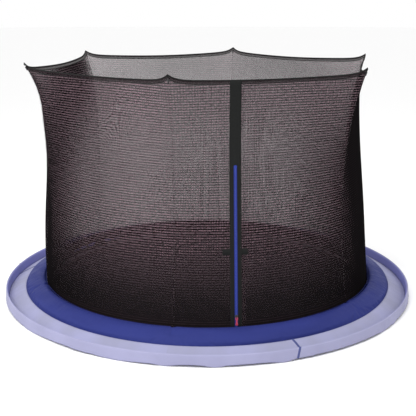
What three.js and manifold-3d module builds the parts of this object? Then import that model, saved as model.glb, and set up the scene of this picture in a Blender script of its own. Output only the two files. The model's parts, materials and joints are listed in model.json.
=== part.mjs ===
// A round garden trampoline of the low, ground-level kind, with a safety net.
// A ring of six steel rails lies on flat feet. Sixty springs pull the jump mat tight inside it.
// A padded ring covers the springs, an apron slopes from it to the ground, and a hoop holds up the outer rim.
// Six pre-bent rods stand in sockets inside the pad and hold the net, which has a zipped entrance.
// Millimetres, +Z up. The origin is the centre of the ring on the ground.
import * as THREE from "three";
import { mergeVertices } from "three/addons/utils/BufferGeometryUtils.js";
import Module from "manifold-3d";

// --- Driving dimensions ---

const FRAME_DIAMETER = 3050; // over the rails
const POLES = 6;
const FIRST_POLE = -100; // degrees; 0 is +X
const ZIP_AZIMUTH = -81.25;
const SPRINGS_PER_RAIL = 10;
const SEGMENTS = 48; // round the ring
const GAP = 0.4; // between pieces that touch

const RAIL = { radius: 21, bore: 19.3, height: 41, steps: 8, sides: 8, endGap: 2 };
const RAIL_RING = FRAME_DIAMETER / 2 - RAIL.radius;
const SLEEVE = { radius: 24.5, bore: 21.4, length: 110 };
const FOOT = { inner: 1318, outer: 1650, width: 60, thickness: 8 };
const MAT = { radius: 1300, thickness: 3 };
const SPRING = { inner: 1306, barrel: 9, barrelLength: 112, wire: 2.5, sides: 5 };
const EDGE_CORD = { ring: 1308.5, radius: 2.8 };
const HOOP = { ring: 1643, height: 76.5, radius: 4 };
const POST = { depth: 6, width: 20 };

const NET = {
  bottom: 52,
  bottomRadius: 1325, // outside
  waistRadius: 1205,
  waistShare: 0.84, // of the net's height
  flareStart: 0.3, // of the net's height
  flarePower: 2,
  fullness: 40, // how much it stands out on the left below crossing, and is drawn in above
  drawnIn: 26,
  crossing: 0.77, // share of its height
  levels: [0, 0.31, 0.62, 0.75, 0.85, 0.93], // shares of its height with a row of vertices
  thickness: 3,
};
const CORNER = { radius: 1435, height: 1873, peak: 37, peakWidth: 43 };
const SIDE_SAG = { radial: 41, vertical: 20 };
const HEM = { depth: 28, thickness: 5 };
const ROD = { radius: 6, clearance: 11, tipClearance: 12, bottom: 12, sides: 6, steps: 20, bend: 0.1 };
const SOCKET = { radius: 10, bore: 7, top: 100, sides: 8 };
const CAP = { radius: 10, length: 34, bore: 7, boreDepth: 24 };
const ROD_NOTCH = 14;

const PAD = { inner: 1330, outer: 1490, under: 56, crown: 154, cover: 2 };
const ZIP = {
  panelWidth: 80,
  panelOffset: 3.5, // clear of the net, whose facets are not quite flat
  panelThickness: 2.5,
  tapeWidth: 22,
  tapeGap: 1.8,
  tapeThickness: 1.5,
  bottom: 116,
  top: 1255,
};
const SLIDER = {
  width: 20,
  height: 24,
  depth: 6,
  start: 214, // height of its middle when the entrance is open
  end: 1240,
  clearance: 1.5,
  pivot: { x: 9.5, z: -6.2 },
};
const PULL = { width: 18, neck: 9, length: 58, thickness: 4, above: 2.6, ears: 12, bore: 1.3 };
const BUCKLE = {
  height: 658,
  half: 18, // of its width
  depth: 12,
  wall: 3,
  clearance: 6, // from the net
  strapWidth: 25,
  strapThickness: 2,
  reach: 86,
};

// --- Materials ---

const finish = (color, roughness, metalness = 0) =>
  new THREE.MeshStandardMaterial({ color, roughness, metalness });
const steel = finish(0x9a9ea3, 0.4, 0.9);
const springSteel = finish(0xb8bbc0, 0.3, 1);
const blackPlastic = finish(0x1b1c1e, 0.5);
const fibreglass = finish(0x222325, 0.45);
const matCloth = finish(0x121214, 0.85);
const netCloth = finish(0x3a3438, 0.8);
const hemCloth = finish(0x1d1d1f, 0.85);
const bluePvc = finish(0x3f4690, 0.55);
const palePvc = finish(0xb4b6dc, 0.6);
const purplePvc = finish(0x6f70ad, 0.6);
const foam = finish(0xe8e6df, 0.95);
const zipBlue = finish(0x3a4aa8, 0.6);
const pullRed = finish(0xd23a58, 0.5);

// --- Helpers ---

const wasm = await Module();
wasm.setup();
const trampoline = new THREE.Group();
const radians = THREE.MathUtils.degToRad;
const UP = new THREE.Vector3(0, 0, 1);

function add(name, geometry, material, parent = trampoline) {
  const mesh = new THREE.Mesh(facingOut(geometry), material);
  mesh.name = name;
  parent.add(mesh);
  return mesh;
}

// The geometry with only its positions, shared vertices merged.
function welded(geometry) {
  const bare = new THREE.BufferGeometry();
  bare.setAttribute("position", geometry.getAttribute("position"));
  if (geometry.index) bare.setIndex(geometry.index);
  return mergeVertices(bare, 1e-3);
}

function volumeOf(geometry) {
  const position = geometry.getAttribute("position");
  const [a, b, c] = [new THREE.Vector3(), new THREE.Vector3(), new THREE.Vector3()];
  let sum = 0;
  for (let i = 0; i < geometry.index.count; i += 3) {
    a.fromBufferAttribute(position, geometry.index.getX(i));
    b.fromBufferAttribute(position, geometry.index.getX(i + 1));
    c.fromBufferAttribute(position, geometry.index.getX(i + 2));
    sum += a.dot(b.cross(c)) / 6;
  }
  return sum;
}

function facingOut(geometry) {
  const closed = welded(geometry);
  if (volumeOf(closed) < 0) closed.index.array.reverse();
  return closed;
}

function solid(geometry) {
  const closed = facingOut(geometry);
  const vertProperties = new Float32Array(closed.getAttribute("position").array);
  const triVerts = new Uint32Array(closed.index.array);
  return new wasm.Manifold(new wasm.Mesh({ numProp: 3, vertProperties, triVerts }));
}

function geometryOf(manifold) {
  const mesh = manifold.getMesh();
  const geometry = new THREE.BufferGeometry();
  geometry.setAttribute("position", new THREE.BufferAttribute(mesh.vertProperties, 3));
  geometry.setIndex(new THREE.BufferAttribute(mesh.triVerts, 1));
  return geometry;
}

// A box from its lowest to its highest corner.
function block(low, high) {
  const size = high.map((v, i) => v - low[i]);
  const middle = high.map((v, i) => (v + low[i]) / 2);
  return new THREE.BoxGeometry(...size).translate(...middle);
}

// A closed outline of [radius, height] points turned about +Z, with a vertex column at each pole.
function turned(outline, segments = SEGMENTS) {
  const points = [...outline, outline[0]].map(([r, z]) => new THREE.Vector2(r, z));
  const start = radians(FIRST_POLE + 90);
  return new THREE.LatheGeometry(points, segments, start, 2 * Math.PI).rotateX(Math.PI / 2);
}

function cylinderOutline(radius, low, high) {
  return [[0, low], [radius, low], [radius, high], [0, high]];
}

// A solid of revolution about its own +Z, closed on that axis.
function spindle(outline, segments) {
  const points = outline.map(([r, z]) => new THREE.Vector2(r, z));
  return new THREE.LatheGeometry(points, segments).rotateX(Math.PI / 2);
}

// The closed outline of a sheet whose upper face follows points.
function sheetOutline(points, thickness) {
  const under = points.map(([r, z], i) => {
    const [r0, z0] = points[Math.max(i - 1, 0)];
    const [r1, z1] = points[Math.min(i + 1, points.length - 1)];
    const length = Math.hypot(r1 - r0, z1 - z0);
    return [r + ((z1 - z0) / length) * thickness, z - ((r1 - r0) / length) * thickness];
  });
  return [...points, ...under.reverse()];
}

function polygon(radius, sides) {
  return Array.from({ length: sides }, (_, i) => {
    const angle = ((i + 0.5) * 2 * Math.PI) / sides;
    return new THREE.Vector2(radius * Math.cos(angle), radius * Math.sin(angle));
  });
}

// A round bar along a curve, or a tube where it has a bore.
function tube(curve, radius, sides, steps, bore = 0) {
  const section = new THREE.Shape(polygon(radius, sides));
  if (bore) section.holes.push(new THREE.Path(polygon(bore, sides)));
  return new THREE.ExtrudeGeometry(section, { steps, extrudePath: curve });
}

// Part of the many-sided ring, between two angles from a pole in degrees.
class RingArc extends THREE.Curve {
  constructor(radius, height, from, to) {
    super();
    Object.assign(this, { radius, height, from, to });
  }
  vertex(index) {
    const angle = (index * 2 * Math.PI) / SEGMENTS;
    return new THREE.Vector3(Math.cos(angle), Math.sin(angle), 0).multiplyScalar(this.radius);
  }
  getPoint(t, target = new THREE.Vector3()) {
    const place = ((this.from + (this.to - this.from) * t) * SEGMENTS) / 360;
    const index = Math.floor(place);
    target.lerpVectors(this.vertex(index), this.vertex(index + 1), place - index);
    return target.setZ(this.height);
  }
}

// A group turned to a pole, so that its +X points straight out.
function atAzimuth(azimuth) {
  const group = new THREE.Group();
  group.rotation.z = radians(azimuth);
  trampoline.add(group);
  return group;
}

const poleAzimuths = Array.from({ length: POLES }, (_, i) => FIRST_POLE + (i * 360) / POLES);

// --- The net's shape ---

// The net's top edge at an azimuth: pulled up and out at each pole, sagging between them.
function topEdge(azimuth) {
  const step = 360 / POLES;
  const past = (((azimuth - FIRST_POLE) % step) + step) % step;
  const fromPole = Math.min(past, step - past);
  const share = fromPole / (step / 2);
  const sag = share * (2 - share);
  const peak = 1 - Math.exp((-radians(fromPole) * CORNER.radius) / CORNER.peakWidth);
  const half = radians(step / 2);
  const chord = (CORNER.radius * Math.cos(half)) / Math.cos(half - radians(fromPole));
  return {
    radius: chord - SIDE_SAG.radial * sag,
    height: CORNER.height - CORNER.peak * peak - SIDE_SAG.vertical * sag,
  };
}

// How far the net stands out of round: on the left it hangs fuller below and tighter above.
function outOfRound(azimuth, share) {
  const side = Math.max(-Math.cos(radians(azimuth)), 0) ** 2;
  const below = Math.min(share / NET.crossing, 1);
  const above = Math.max((share - NET.crossing) / (1 - NET.crossing), 0);
  return side * (NET.fullness * Math.sin(Math.PI * below) - NET.drawnIn * Math.sin(Math.PI * above));
}

// Radius and height of the net's outer face at a share of its height, hem included.
function netPoint(azimuth, share) {
  const edge = topEdge(azimuth);
  const taper = (NET.waistRadius - NET.bottomRadius) * (share / NET.waistShare);
  const rise = Math.max(share - NET.flareStart, 0) / (1 - NET.flareStart);
  const flare = rise ** NET.flarePower;
  const round = (NET.bottomRadius + taper) * (1 - flare) + edge.radius * flare;
  const radius = round + outOfRound(azimuth, share);
  return [radius, NET.bottom + (edge.height - NET.bottom) * share];
}

// The net's outer face at one azimuth, from its bottom to the top of its hem.
function netColumn(azimuth) {
  return [...NET.levels, 1].map((share) => netPoint(azimuth, share));
}

// The two ends, at one height, of the flat facet of net that faces an azimuth.
function netFacet(azimuth, height) {
  const step = 360 / SEGMENTS;
  const before = Math.floor((azimuth - FIRST_POLE) / step + 1e-6) * step + FIRST_POLE;
  return [before, before + step].map((edge) => {
    const column = netColumn(edge);
    const above = column.findIndex(([, z]) => z > height);
    const upper = above < 0 ? column.length - 1 : Math.max(above, 1);
    const [[r0, z0], [r1, z1]] = [column[upper - 1], column[upper]];
    const radius = r0 + ((r1 - r0) * (height - z0)) / (z1 - z0);
    return new THREE.Vector3(radius, 0, height).applyAxisAngle(UP, radians(edge));
  });
}

// A point on the facet at the zip, moved across to the left and out from the net.
function zipPoint(height, across, out) {
  const [near, far] = netFacet(ZIP_AZIMUTH, height);
  const along = far.clone().sub(near).normalize();
  const normal = along.clone().cross(UP);
  return near.lerp(far, 0.5).addScaledVector(along, across).addScaledVector(normal, out);
}

// --- Frame ---

function railSections() {
  const end = THREE.MathUtils.radToDeg(RAIL.endGap / RAIL_RING);
  const arc = new RingArc(RAIL_RING, RAIL.height, end, 360 / POLES - end);
  poleAzimuths.forEach((azimuth, i) => {
    const rail = tube(arc, RAIL.radius, RAIL.sides, RAIL.steps, RAIL.bore);
    add(`rail_${i + 1}`, rail, steel, atAzimuth(azimuth));
  });
}

// A sleeve joins two rails over each foot, on a short welded stem.
function jointSleeves() {
  const half = THREE.MathUtils.radToDeg(SLEEVE.length / 2 / RAIL_RING);
  poleAzimuths.forEach((azimuth, i) => {
    const arc = new RingArc(RAIL_RING, RAIL.height, -half, half);
    const sleeve = solid(tube(arc, SLEEVE.radius, RAIL.sides, 2, SLEEVE.bore));
    const stemTop = RAIL.height - SLEEVE.radius + 2;
    const stem = block(
      [RAIL_RING - 20, -20, FOOT.thickness + GAP],
      [RAIL_RING + 20, 20, stemTop],
    );
    const joined = sleeve.add(solid(stem));
    add(`joint_sleeve_${i + 1}`, geometryOf(joined), steel, atAzimuth(azimuth));
  });
}

// A flat foot under each joint, with the socket for a net rod welded to its inner end and
// the post that holds up the rim hoop to its outer end.
function feet() {
  const socketRing = NET.bottomRadius + ROD.clearance;
  const base = FOOT.thickness - 1;
  poleAzimuths.forEach((azimuth, i) => {
    const bar = block(
      [FOOT.inner, -FOOT.width / 2, 0],
      [FOOT.outer, FOOT.width / 2, FOOT.thickness],
    );
    const post = block(
      [HOOP.ring - POST.depth / 2, -POST.width / 2, base],
      [HOOP.ring + POST.depth / 2, POST.width / 2, HOOP.height - HOOP.radius - GAP],
    );
    const outer = spindle(cylinderOutline(SOCKET.radius, base, SOCKET.top), SOCKET.sides);
    const bore = spindle(cylinderOutline(SOCKET.bore, base + 3, SOCKET.top + 1), SOCKET.sides);
    const socket = solid(outer).subtract(solid(bore)).translate([socketRing, 0, 0]);
    const foot = solid(bar).add(solid(post)).add(socket);
    add(`ground_foot_${i + 1}`, geometryOf(foot), steel, atAzimuth(azimuth));
  });
}

// --- Springs and mat ---

function jumpMat() {
  const low = RAIL.height - MAT.thickness / 2;
  const high = RAIL.height + MAT.thickness / 2;
  add("jump_mat", spindle(cylinderOutline(MAT.radius, low, high), SEGMENTS), matCloth);
}

// The outline of one spring along +Z: hooked wire ends and a wound barrel between them.
function springOutline(length) {
  const start = (length - SPRING.barrelLength) / 2;
  const end = start + SPRING.barrelLength;
  return [
    [0, 0],
    [SPRING.wire, 0],
    [SPRING.barrel, start],
    [SPRING.barrel, end],
    [SPRING.wire, length],
    [0, length],
  ];
}

// The springs of one rail, joined along the cord that holds the mat's edge rings.
function springBanks() {
  const sector = 360 / POLES;
  const pitch = sector / SPRINGS_PER_RAIL;
  const length = RAIL_RING * Math.cos(Math.PI / SEGMENTS) - RAIL.radius - GAP - SPRING.inner;
  poleAzimuths.forEach((azimuth, i) => {
    const arc = new RingArc(EDGE_CORD.ring, RAIL.height, 1, sector - 1);
    let bank = solid(tube(arc, EDGE_CORD.radius, 4, RAIL.steps));
    for (let k = 0; k < SPRINGS_PER_RAIL; k++) {
      const spring = spindle(springOutline(length), SPRING.sides)
        .rotateY(Math.PI / 2)
        .translate(SPRING.inner, 0, RAIL.height)
        .rotateZ(radians((k + 0.5) * pitch));
      bank = bank.add(solid(spring));
    }
    add(`spring_bank_${i + 1}`, geometryOf(bank), springSteel, atAzimuth(azimuth));
  });
}

// --- Pad, apron and rim ---

// The notches that let the rods and their sockets through the pad's inner edge.
function rodNotches() {
  const ring = NET.bottomRadius + ROD.clearance;
  return poleAzimuths.map((azimuth) =>
    solid(
      new THREE.CylinderGeometry(ROD_NOTCH, ROD_NOTCH, 200, 8)
        .rotateX(Math.PI / 2)
        .translate(ring, 0, 100)
        .rotateZ(radians(azimuth)),
    ),
  );
}

function notched(geometry) {
  return geometryOf(rodNotches().reduce((rest, notch) => rest.subtract(notch), solid(geometry)));
}

function springPad() {
  const crown = [
    [PAD.inner, PAD.under],
    [PAD.inner + 2, PAD.crown - 12],
    [PAD.inner + 10, PAD.crown - 1],
    [PAD.inner + 22, PAD.crown],
    [1400, 136],
    [1450, 111],
    [1480, 93],
    [PAD.outer - 3, 84],
    [PAD.outer, 70],
  ];
  const core = crown.map(([r, z]) => {
    const inset = PAD.cover + GAP;
    const inwards = r < PAD.inner + 20 ? inset : -inset;
    return [r + inwards, z > PAD.under ? z - inset : z];
  });
  add("pad_foam", notched(turned([...core, [PAD.outer - 6, 66]])), foam);
  add("pad_cover", notched(turned(sheetOutline(crown, PAD.cover))), bluePvc);
}

// The apron slopes from the pad to the ground, the lining stands up from it to the hoop,
// and the skirt falls outside.
function apronAndRim() {
  const sheet = 2.5;
  const gutter = FOOT.thickness + GAP + sheet;
  const apron = [[PAD.outer + 2, 78], [1535, 60], [1600, 27], [1628, gutter]];
  const lining = [[1630, gutter - 2], [1635, 78], [1639.8, 85]];
  const skirt = [[1643, 87.2], [1647.5, 85.5], [1650.5, 78], [1655, 4]];
  add("pad_apron", turned(sheetOutline(apron, sheet)), palePvc);
  add("rim_lining", turned(sheetOutline(lining, sheet)), purplePvc);
  add("rim_skirt", turned(sheetOutline(skirt, sheet)), palePvc);
  const section = polygon(HOOP.radius, 5).map((p) => [HOOP.ring + p.x, HOOP.height + p.y]);
  add("rim_hoop", turned(section), blackPlastic);
}

// --- Net, hem and rods ---

// A closed skin over a grid of columns round the ring, each a list of [radius, height] on the
// outer face. The inner face is a thickness nearer the axis. A full ring joins its two ends.
function ringSkin(azimuths, columnAt, thickness, full) {
  const columns = azimuths.map((azimuth) => {
    const outer = columnAt(azimuth);
    const inner = outer.map(([r, z]) => [r - thickness, z]).reverse();
    return [...outer, ...inner].map(([r, z]) =>
      new THREE.Vector3(r, 0, z).applyAxisAngle(UP, radians(azimuth)),
    );
  });
  const count = columns[0].length;
  const faces = [];
  const spans = full ? columns.length : columns.length - 1;
  for (let i = 0; i < spans; i++) {
    const [here, next] = [i * count, ((i + 1) % columns.length) * count];
    for (let k = 0; k < count; k++) {
      const after = (k + 1) % count;
      const [a, b, c, d] = [here + k, next + k, next + after, here + after];
      // Both faces are split along the same diagonal, which keeps the skin its full thickness.
      if (k < count / 2) faces.push(a, b, c, a, c, d);
      else faces.push(a, b, d, b, c, d);
    }
  }
  if (!full) {
    const last = (columns.length - 1) * count;
    for (let k = 0; k < count / 2 - 1; k++) {
      const [a, b, c, d] = [k, k + 1, count - 2 - k, count - 1 - k];
      faces.push(a, b, c, a, c, d, last + a, last + c, last + b, last + a, last + d, last + c);
    }
  }
  return new THREE.BufferGeometry().setFromPoints(columns.flat()).setIndex(faces);
}

// The hem's lower edge on the net's face, moved up by rise.
function hemFoot(azimuth, rise) {
  const [[r0, z0], [r1, z1]] = netColumn(azimuth).slice(-2);
  const height = z1 - HEM.depth + rise;
  return [r0 + ((r1 - r0) * (height - z0)) / (z1 - z0), height];
}

// One panel of net from each rod to the next, and the hem round the top of all of them.
function netPanelsAndHem() {
  const step = 360 / SEGMENTS;
  const perPanel = SEGMENTS / POLES;
  const trim = THREE.MathUtils.radToDeg(GAP / NET.bottomRadius);
  poleAzimuths.forEach((azimuth, i) => {
    const across = Array.from({ length: perPanel + 1 }, (_, k) => azimuth + k * step);
    across[0] += trim;
    across[perPanel] -= trim;
    const meshColumn = (at) => [...netColumn(at).slice(0, -1), hemFoot(at, -GAP)];
    add(`net_panel_${i + 1}`, ringSkin(across, meshColumn, NET.thickness, false), netCloth);
  });
  const around = Array.from({ length: SEGMENTS }, (_, k) => FIRST_POLE + k * step);
  const hemColumn = (at) => [hemFoot(at, 0), netPoint(at, 1)];
  add("net_top_hem", ringSkin(around, hemColumn, HEM.thickness, true), hemCloth);
}

// One rod's centreline as [radius, height]: straight in its socket, then along the net.
function rodLine(azimuth) {
  const ring = NET.bottomRadius + ROD.clearance;
  const straight = [ROD.bottom, 60, 110, 160].map((height) => [ring, height]);
  const leaning = netColumn(azimuth)
    .slice(1)
    .map(([r, z], i, rest) => [r + (i < rest.length - 1 ? ROD.clearance : ROD.tipClearance), z]);
  return [...straight, ...leaning];
}

function rods() {
  const cap = [
    [0, CAP.boreDepth],
    [CAP.bore, CAP.boreDepth],
    [CAP.bore, 0],
    [CAP.radius - 1, 0],
    [CAP.radius, CAP.length * 0.6],
    [CAP.radius * 0.6, CAP.length * 0.93],
    [0, CAP.length],
  ];
  poleAzimuths.forEach((azimuth, i) => {
    const group = atAzimuth(azimuth);
    const places = rodLine(azimuth).map(([r, z]) => new THREE.Vector3(r, 0, z));
    const curve = new THREE.CatmullRomCurve3(places, false, "catmullrom", ROD.bend);
    const along = curve.getTangent(1);
    add(`net_rod_${i + 1}`, tube(curve, ROD.radius, ROD.sides, ROD.steps), fibreglass, group);
    const end = add(`rod_cap_${i + 1}`, spindle(cap, 8), blackPlastic, group);
    end.quaternion.setFromUnitVectors(UP, along);
    end.position.copy(curve.getPoint(1)).addScaledVector(along, -CAP.boreDepth + GAP);
  });
}

// --- Entrance ---

// A thin strip on the net at the zip, between two heights.
function stripOnNet({ width, offset, thickness, bottom, top }) {
  const between = netColumn(ZIP_AZIMUTH)
    .map(([, height]) => height)
    .filter((height) => height > bottom + 20 && height < top - 20);
  const corners = [bottom, ...between, top].flatMap((height) => [
    zipPoint(height, -width / 2, offset),
    zipPoint(height, width / 2, offset),
    zipPoint(height, width / 2, offset + thickness),
    zipPoint(height, -width / 2, offset + thickness),
  ]);
  const faces = [0, 1, 2, 0, 2, 3];
  const last = corners.length - 4;
  faces.push(last, last + 2, last + 1, last, last + 3, last + 2);
  for (let low = 0; low < last; low += 4) {
    for (let side = 0; side < 4; side++) {
      const [a, b] = [low + side, low + ((side + 1) % 4)];
      faces.push(a, b + 4, b, a, a + 4, b + 4);
    }
  }
  return new THREE.BufferGeometry().setFromPoints(corners).setIndex(faces);
}

// A group at a height on the zip. Its +X points out from the net, its +Y to the right as seen
// from outside, and its +Z up the line that the slider runs on.
function onZip(height, out) {
  const start = zipPoint(SLIDER.start, 0, 0);
  const up = zipPoint(SLIDER.end, 0, 0).sub(start).normalize();
  const [near, far] = netFacet(ZIP_AZIMUTH, height);
  const across = far.sub(near).normalize();
  const group = new THREE.Group();
  const outwards = across.clone().cross(up);
  const basis = new THREE.Matrix4().makeBasis(outwards, up.clone().cross(outwards), up);
  group.quaternion.setFromRotationMatrix(basis);
  group.position.copy(zipPoint(height, 0, out));
  trampoline.add(group);
  return group;
}

function entrance() {
  const panel = {
    width: ZIP.panelWidth,
    offset: ZIP.panelOffset,
    thickness: ZIP.panelThickness,
    bottom: ZIP.bottom,
    top: topEdge(ZIP_AZIMUTH).height - 2,
  };
  const tape = {
    width: ZIP.tapeWidth,
    offset: panel.offset + panel.thickness + ZIP.tapeGap,
    thickness: ZIP.tapeThickness,
    bottom: ZIP.bottom,
    top: ZIP.top,
  };
  add("zip_panel", stripOnNet(panel), hemCloth);
  add("zip_tape", stripOnNet(tape), zipBlue);
  zipSlider(onZip(SLIDER.start, tape.offset + tape.thickness + SLIDER.clearance));
}

// A short cylinder along +Y.
function trunnion(radius, length, x, z) {
  return solid(new THREE.CylinderGeometry(radius, radius, length, 8).translate(x, 0, z));
}

// The slider carries a lug with a stub on each side, on which the pull's two ears turn.
function zipSlider(group) {
  const { width, height, depth, pivot } = SLIDER;
  const body = block([0, -width / 2, -height / 2], [depth, width / 2, height / 2]);
  const lug = block([depth - 1, -2.5, pivot.z - 2.4], [pivot.x + 1.7, 2.5, pivot.z + 2.4]);
  const stubs = trunnion(PULL.bore - GAP, PULL.ears, pivot.x, pivot.z);
  const slider = solid(body).add(solid(lug)).add(stubs);
  add("zip_slider", geometryOf(slider), blackPlastic, group);
  const plate = solid(pullPlate(pivot));
  const slot = solid(block([pivot.x - 5, -3, pivot.z - 6], [pivot.x + 5, 3, pivot.z + 6]));
  const holes = trunnion(PULL.bore, PULL.width + 2, pivot.x, pivot.z);
  add("zip_pull", geometryOf(plate.subtract(slot).subtract(holes)), pullRed, group);
}

// The pull's waisted plate, hanging down from just above its pivot.
function pullPlate(pivot) {
  const [half, neck] = [PULL.width / 2, PULL.neck / 2];
  const right = [
    [half, 0], [half, 14], [neck, 22], [neck, 34], [half, PULL.length - 8], [half - 4, PULL.length],
  ];
  const left = right.map(([y, down]) => [-y, down]).reverse();
  const outline = [...right, ...left].map(([y, down]) => new THREE.Vector2(y, PULL.above - down));
  const settings = { depth: PULL.thickness, bevelEnabled: false };
  return new THREE.ExtrudeGeometry(new THREE.Shape(outline), settings)
    .rotateX(Math.PI / 2)
    .rotateZ(Math.PI / 2)
    .translate(pivot.x - PULL.thickness / 2, 0, pivot.z);
}

// The side-release buckle that spans the entrance, on the inside of the net.
// Seen from outside, its socket is on the right and its plug on the left.
function entranceBuckle() {
  const { strapWidth, strapThickness, reach, height, half, depth, wall } = BUCKLE;
  const group = onZip(height, -NET.thickness - BUCKLE.clearance);
  const strap = (from, to) =>
    block([-strapThickness, from, -strapWidth / 2], [0, to, strapWidth / 2]);
  add("buckle_strap_right", strap(31, reach), hemCloth, group);
  add("buckle_strap_left", strap(-reach, -31), hemCloth, group);
  const back = -strapThickness;
  const front = back - depth;
  const shell = solid(block([front, -6, -half], [back, 30.5, half]));
  const mouth = solid(block([front + wall, -7, wall - half], [back - wall, 22, half - wall]));
  add("buckle_socket", geometryOf(shell.subtract(mouth)), blackPlastic, group);
  const plug = solid(block([front, -30.5, -half], [back, -6.5, half]));
  const prongs = [wall + 2 - half, half - wall - 7].map((low) =>
    solid(block([front + wall + GAP, -8, low], [back - wall - GAP, 16, low + 5])),
  );
  const male = prongs.reduce((whole, prong) => whole.add(prong), plug);
  add("buckle_plug", geometryOf(male), blackPlastic, group);
}

railSections();
jointSleeves();
feet();
jumpMat();
springBanks();
springPad();
apronAndRim();
netPanelsAndHem();
rods();
entrance();
entranceBuckle();

export default trampoline;
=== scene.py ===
"""The looks of a round garden trampoline with a safety net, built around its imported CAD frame.

Everything is in metres, in the CAD part's frame: +Z up, the origin on the ground at the centre of
the ring. Azimuths are in degrees from +X. Lengths that both models share are repeated from the
part's driving dimensions. The slider's and the buckle's places come from the frame's joints and
boxes. Profiles written as lists of points belong to this model alone.
"""

import json
import math

import bmesh
import bpy
import numpy as np
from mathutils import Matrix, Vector, noise


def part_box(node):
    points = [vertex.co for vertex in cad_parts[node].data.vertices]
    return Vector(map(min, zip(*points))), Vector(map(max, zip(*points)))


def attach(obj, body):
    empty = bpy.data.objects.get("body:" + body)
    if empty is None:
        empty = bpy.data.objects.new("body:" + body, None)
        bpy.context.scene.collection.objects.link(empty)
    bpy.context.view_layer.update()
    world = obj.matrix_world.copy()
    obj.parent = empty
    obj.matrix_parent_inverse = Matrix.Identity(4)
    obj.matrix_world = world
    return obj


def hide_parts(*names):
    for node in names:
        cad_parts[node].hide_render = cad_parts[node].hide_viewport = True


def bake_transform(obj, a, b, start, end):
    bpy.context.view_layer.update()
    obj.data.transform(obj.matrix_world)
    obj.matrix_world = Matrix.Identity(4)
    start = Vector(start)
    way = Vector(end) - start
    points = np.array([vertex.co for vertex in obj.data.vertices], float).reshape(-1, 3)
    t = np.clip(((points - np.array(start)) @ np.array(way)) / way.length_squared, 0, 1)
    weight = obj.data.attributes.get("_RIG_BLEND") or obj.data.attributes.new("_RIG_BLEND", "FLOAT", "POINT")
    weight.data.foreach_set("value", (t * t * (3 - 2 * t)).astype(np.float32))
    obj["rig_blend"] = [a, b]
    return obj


# --- Driving dimensions, shared with the CAD part ---

POLES = 6
FIRST_POLE = -100.0
ZIP_AZIMUTH = -81.25
SPRINGS = 60

NET_BOTTOM = 0.052
NET_BOTTOM_RADIUS = 1.325
NET_WAIST_RADIUS = 1.205
NET_WAIST_SHARE = 0.84
FLARE_START = 0.3
FLARE_POWER = 2.0
NET_FULLNESS = 0.040  # how far it hangs out on the left, below the crossing
NET_DRAWN_IN = 0.026  # and is drawn in above it
NET_CROSSING = 0.77
CORNER_RADIUS = 1.435
CORNER_HEIGHT = 1.873
CORNER_PEAK = 0.037
CORNER_PEAK_WIDTH = 0.043
SAG_RADIAL = 0.041
SAG_VERTICAL = 0.020
HEM_DEPTH = 0.028

ROD_RADIUS = 0.0036
ROD_CLEARANCE = 0.011

MAT_RADIUS = 1.3
MAT_HEIGHT = 0.041
SPRING_BARREL_RADIUS = 0.009
SPRING_WIRE_RADIUS = 0.0012
RAIL_RING = 1.504
RAIL_RADIUS = 0.021

ZIP_BOTTOM = 0.116
ZIP_TOP = 1.255
ZIP_PANEL_WIDTH = 0.08
ZIP_TAPE_WIDTH = 0.022
BUCKLE_HEIGHT = 0.658
BUCKLE_BACK = -0.0128
BUCKLE_FRONT = -0.0012
PRONG_LINE = ((-0.004, 0.007), (0.004, 0.0095), (0.013, 0.0115))
STRAP_HALF_WIDTH = 0.0125
STRAP_HALF_THICKNESS = 0.0009

# --- Detail that only this model has ---

NET_COLUMNS_PER_HALF_PANEL = 26
NET_ROWS = 25
NET_SHARES = np.linspace(0, 1, NET_ROWS + 1)[None, :]
NET_ROW_PITCH = 0.0177
NET_COLUMN_PITCH = 0.0170
WALES = 3456
WALE_RADIUS = 0.00060
NET_SWAY = 0.003
STITCH_PITCH = 0.006
PAD_CROWN_ROWS = 40
PAD_COLUMNS_PER_SECTION = 120
PAD_PUFF_LIMIT = 0.007
ROD_NOTCH_DEPTH = 0.026
ROD_NOTCH_WIDTH = 0.0155
SKIRT_LIFT = 0.013
BINDING_WIDTH = 0.026
TAB_COLUMNS = (-0.0145, -0.005, 0.005, 0.0145)
TAB_THICKNESS = 0.0012
COVER_SEAMS = (-69.0, 51.0, 171.0)
SKIRT_LOW_POINTS = (  # azimuth and width of each place where the skirt touches the ground
    (-88.0, 2.2), (-72.3, 2.6), (-34.0, 1.2), (-2.0, 6.0), (33.0, 4.0), (61.0, 3.0), (97.0, 7.0),
    (128.0, 3.0), (152.0, 2.0), (181.0, 1.3), (-141.0, 9.0), (-112.0, 7.0),
    (-100.0, 2.2), (-40.0, 2.2), (20.0, 2.2), (80.0, 2.2), (140.0, 2.2), (-160.0, 2.2),
)
PIT_RADIUS = 1.42
PIT_DEPTH = 0.70
EDGE_LIFT = 0.12  # share of the mat's travel that its edge follows
HALF_PANEL = 180.0 / POLES
POLE_AZIMUTHS = [FIRST_POLE + k * 360.0 / POLES for k in range(POLES)]
SPRING_AZIMUTHS = [FIRST_POLE + (k + 0.5) * 360.0 / SPRINGS for k in range(SPRINGS)]
ROD_GAP = 0.0045  # from the net's face to a rod's centre, above the socket
CORD_BACK = 0.0015  # from the hem's outer face to its cords' centres
HEM_THICKNESS = 0.003
COVER_THICKNESS = 0.0012
COVER_COLUMNS = 720
WALE_UNEVENNESS = 0.35  # share of the cords' pitch
WALE_LEAN = 0.16  # share by which the cords are thicker on the right, thinner on the left
CLOTH_FRAMES = 20
CLOTH_SETTINGS = {
    "quality": 6,
    "mass": 0.3,
    "tension_stiffness": 25,
    "compression_stiffness": 12,
    "bending_stiffness": 0.4,
    "use_pressure": True,
    "uniform_pressure_force": -4.0,
    "shrink_min": -0.015,
    "vertex_group_mass": "held",
}
FLOOR_RADIUS = 60.0

# --- Camera ---

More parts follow.
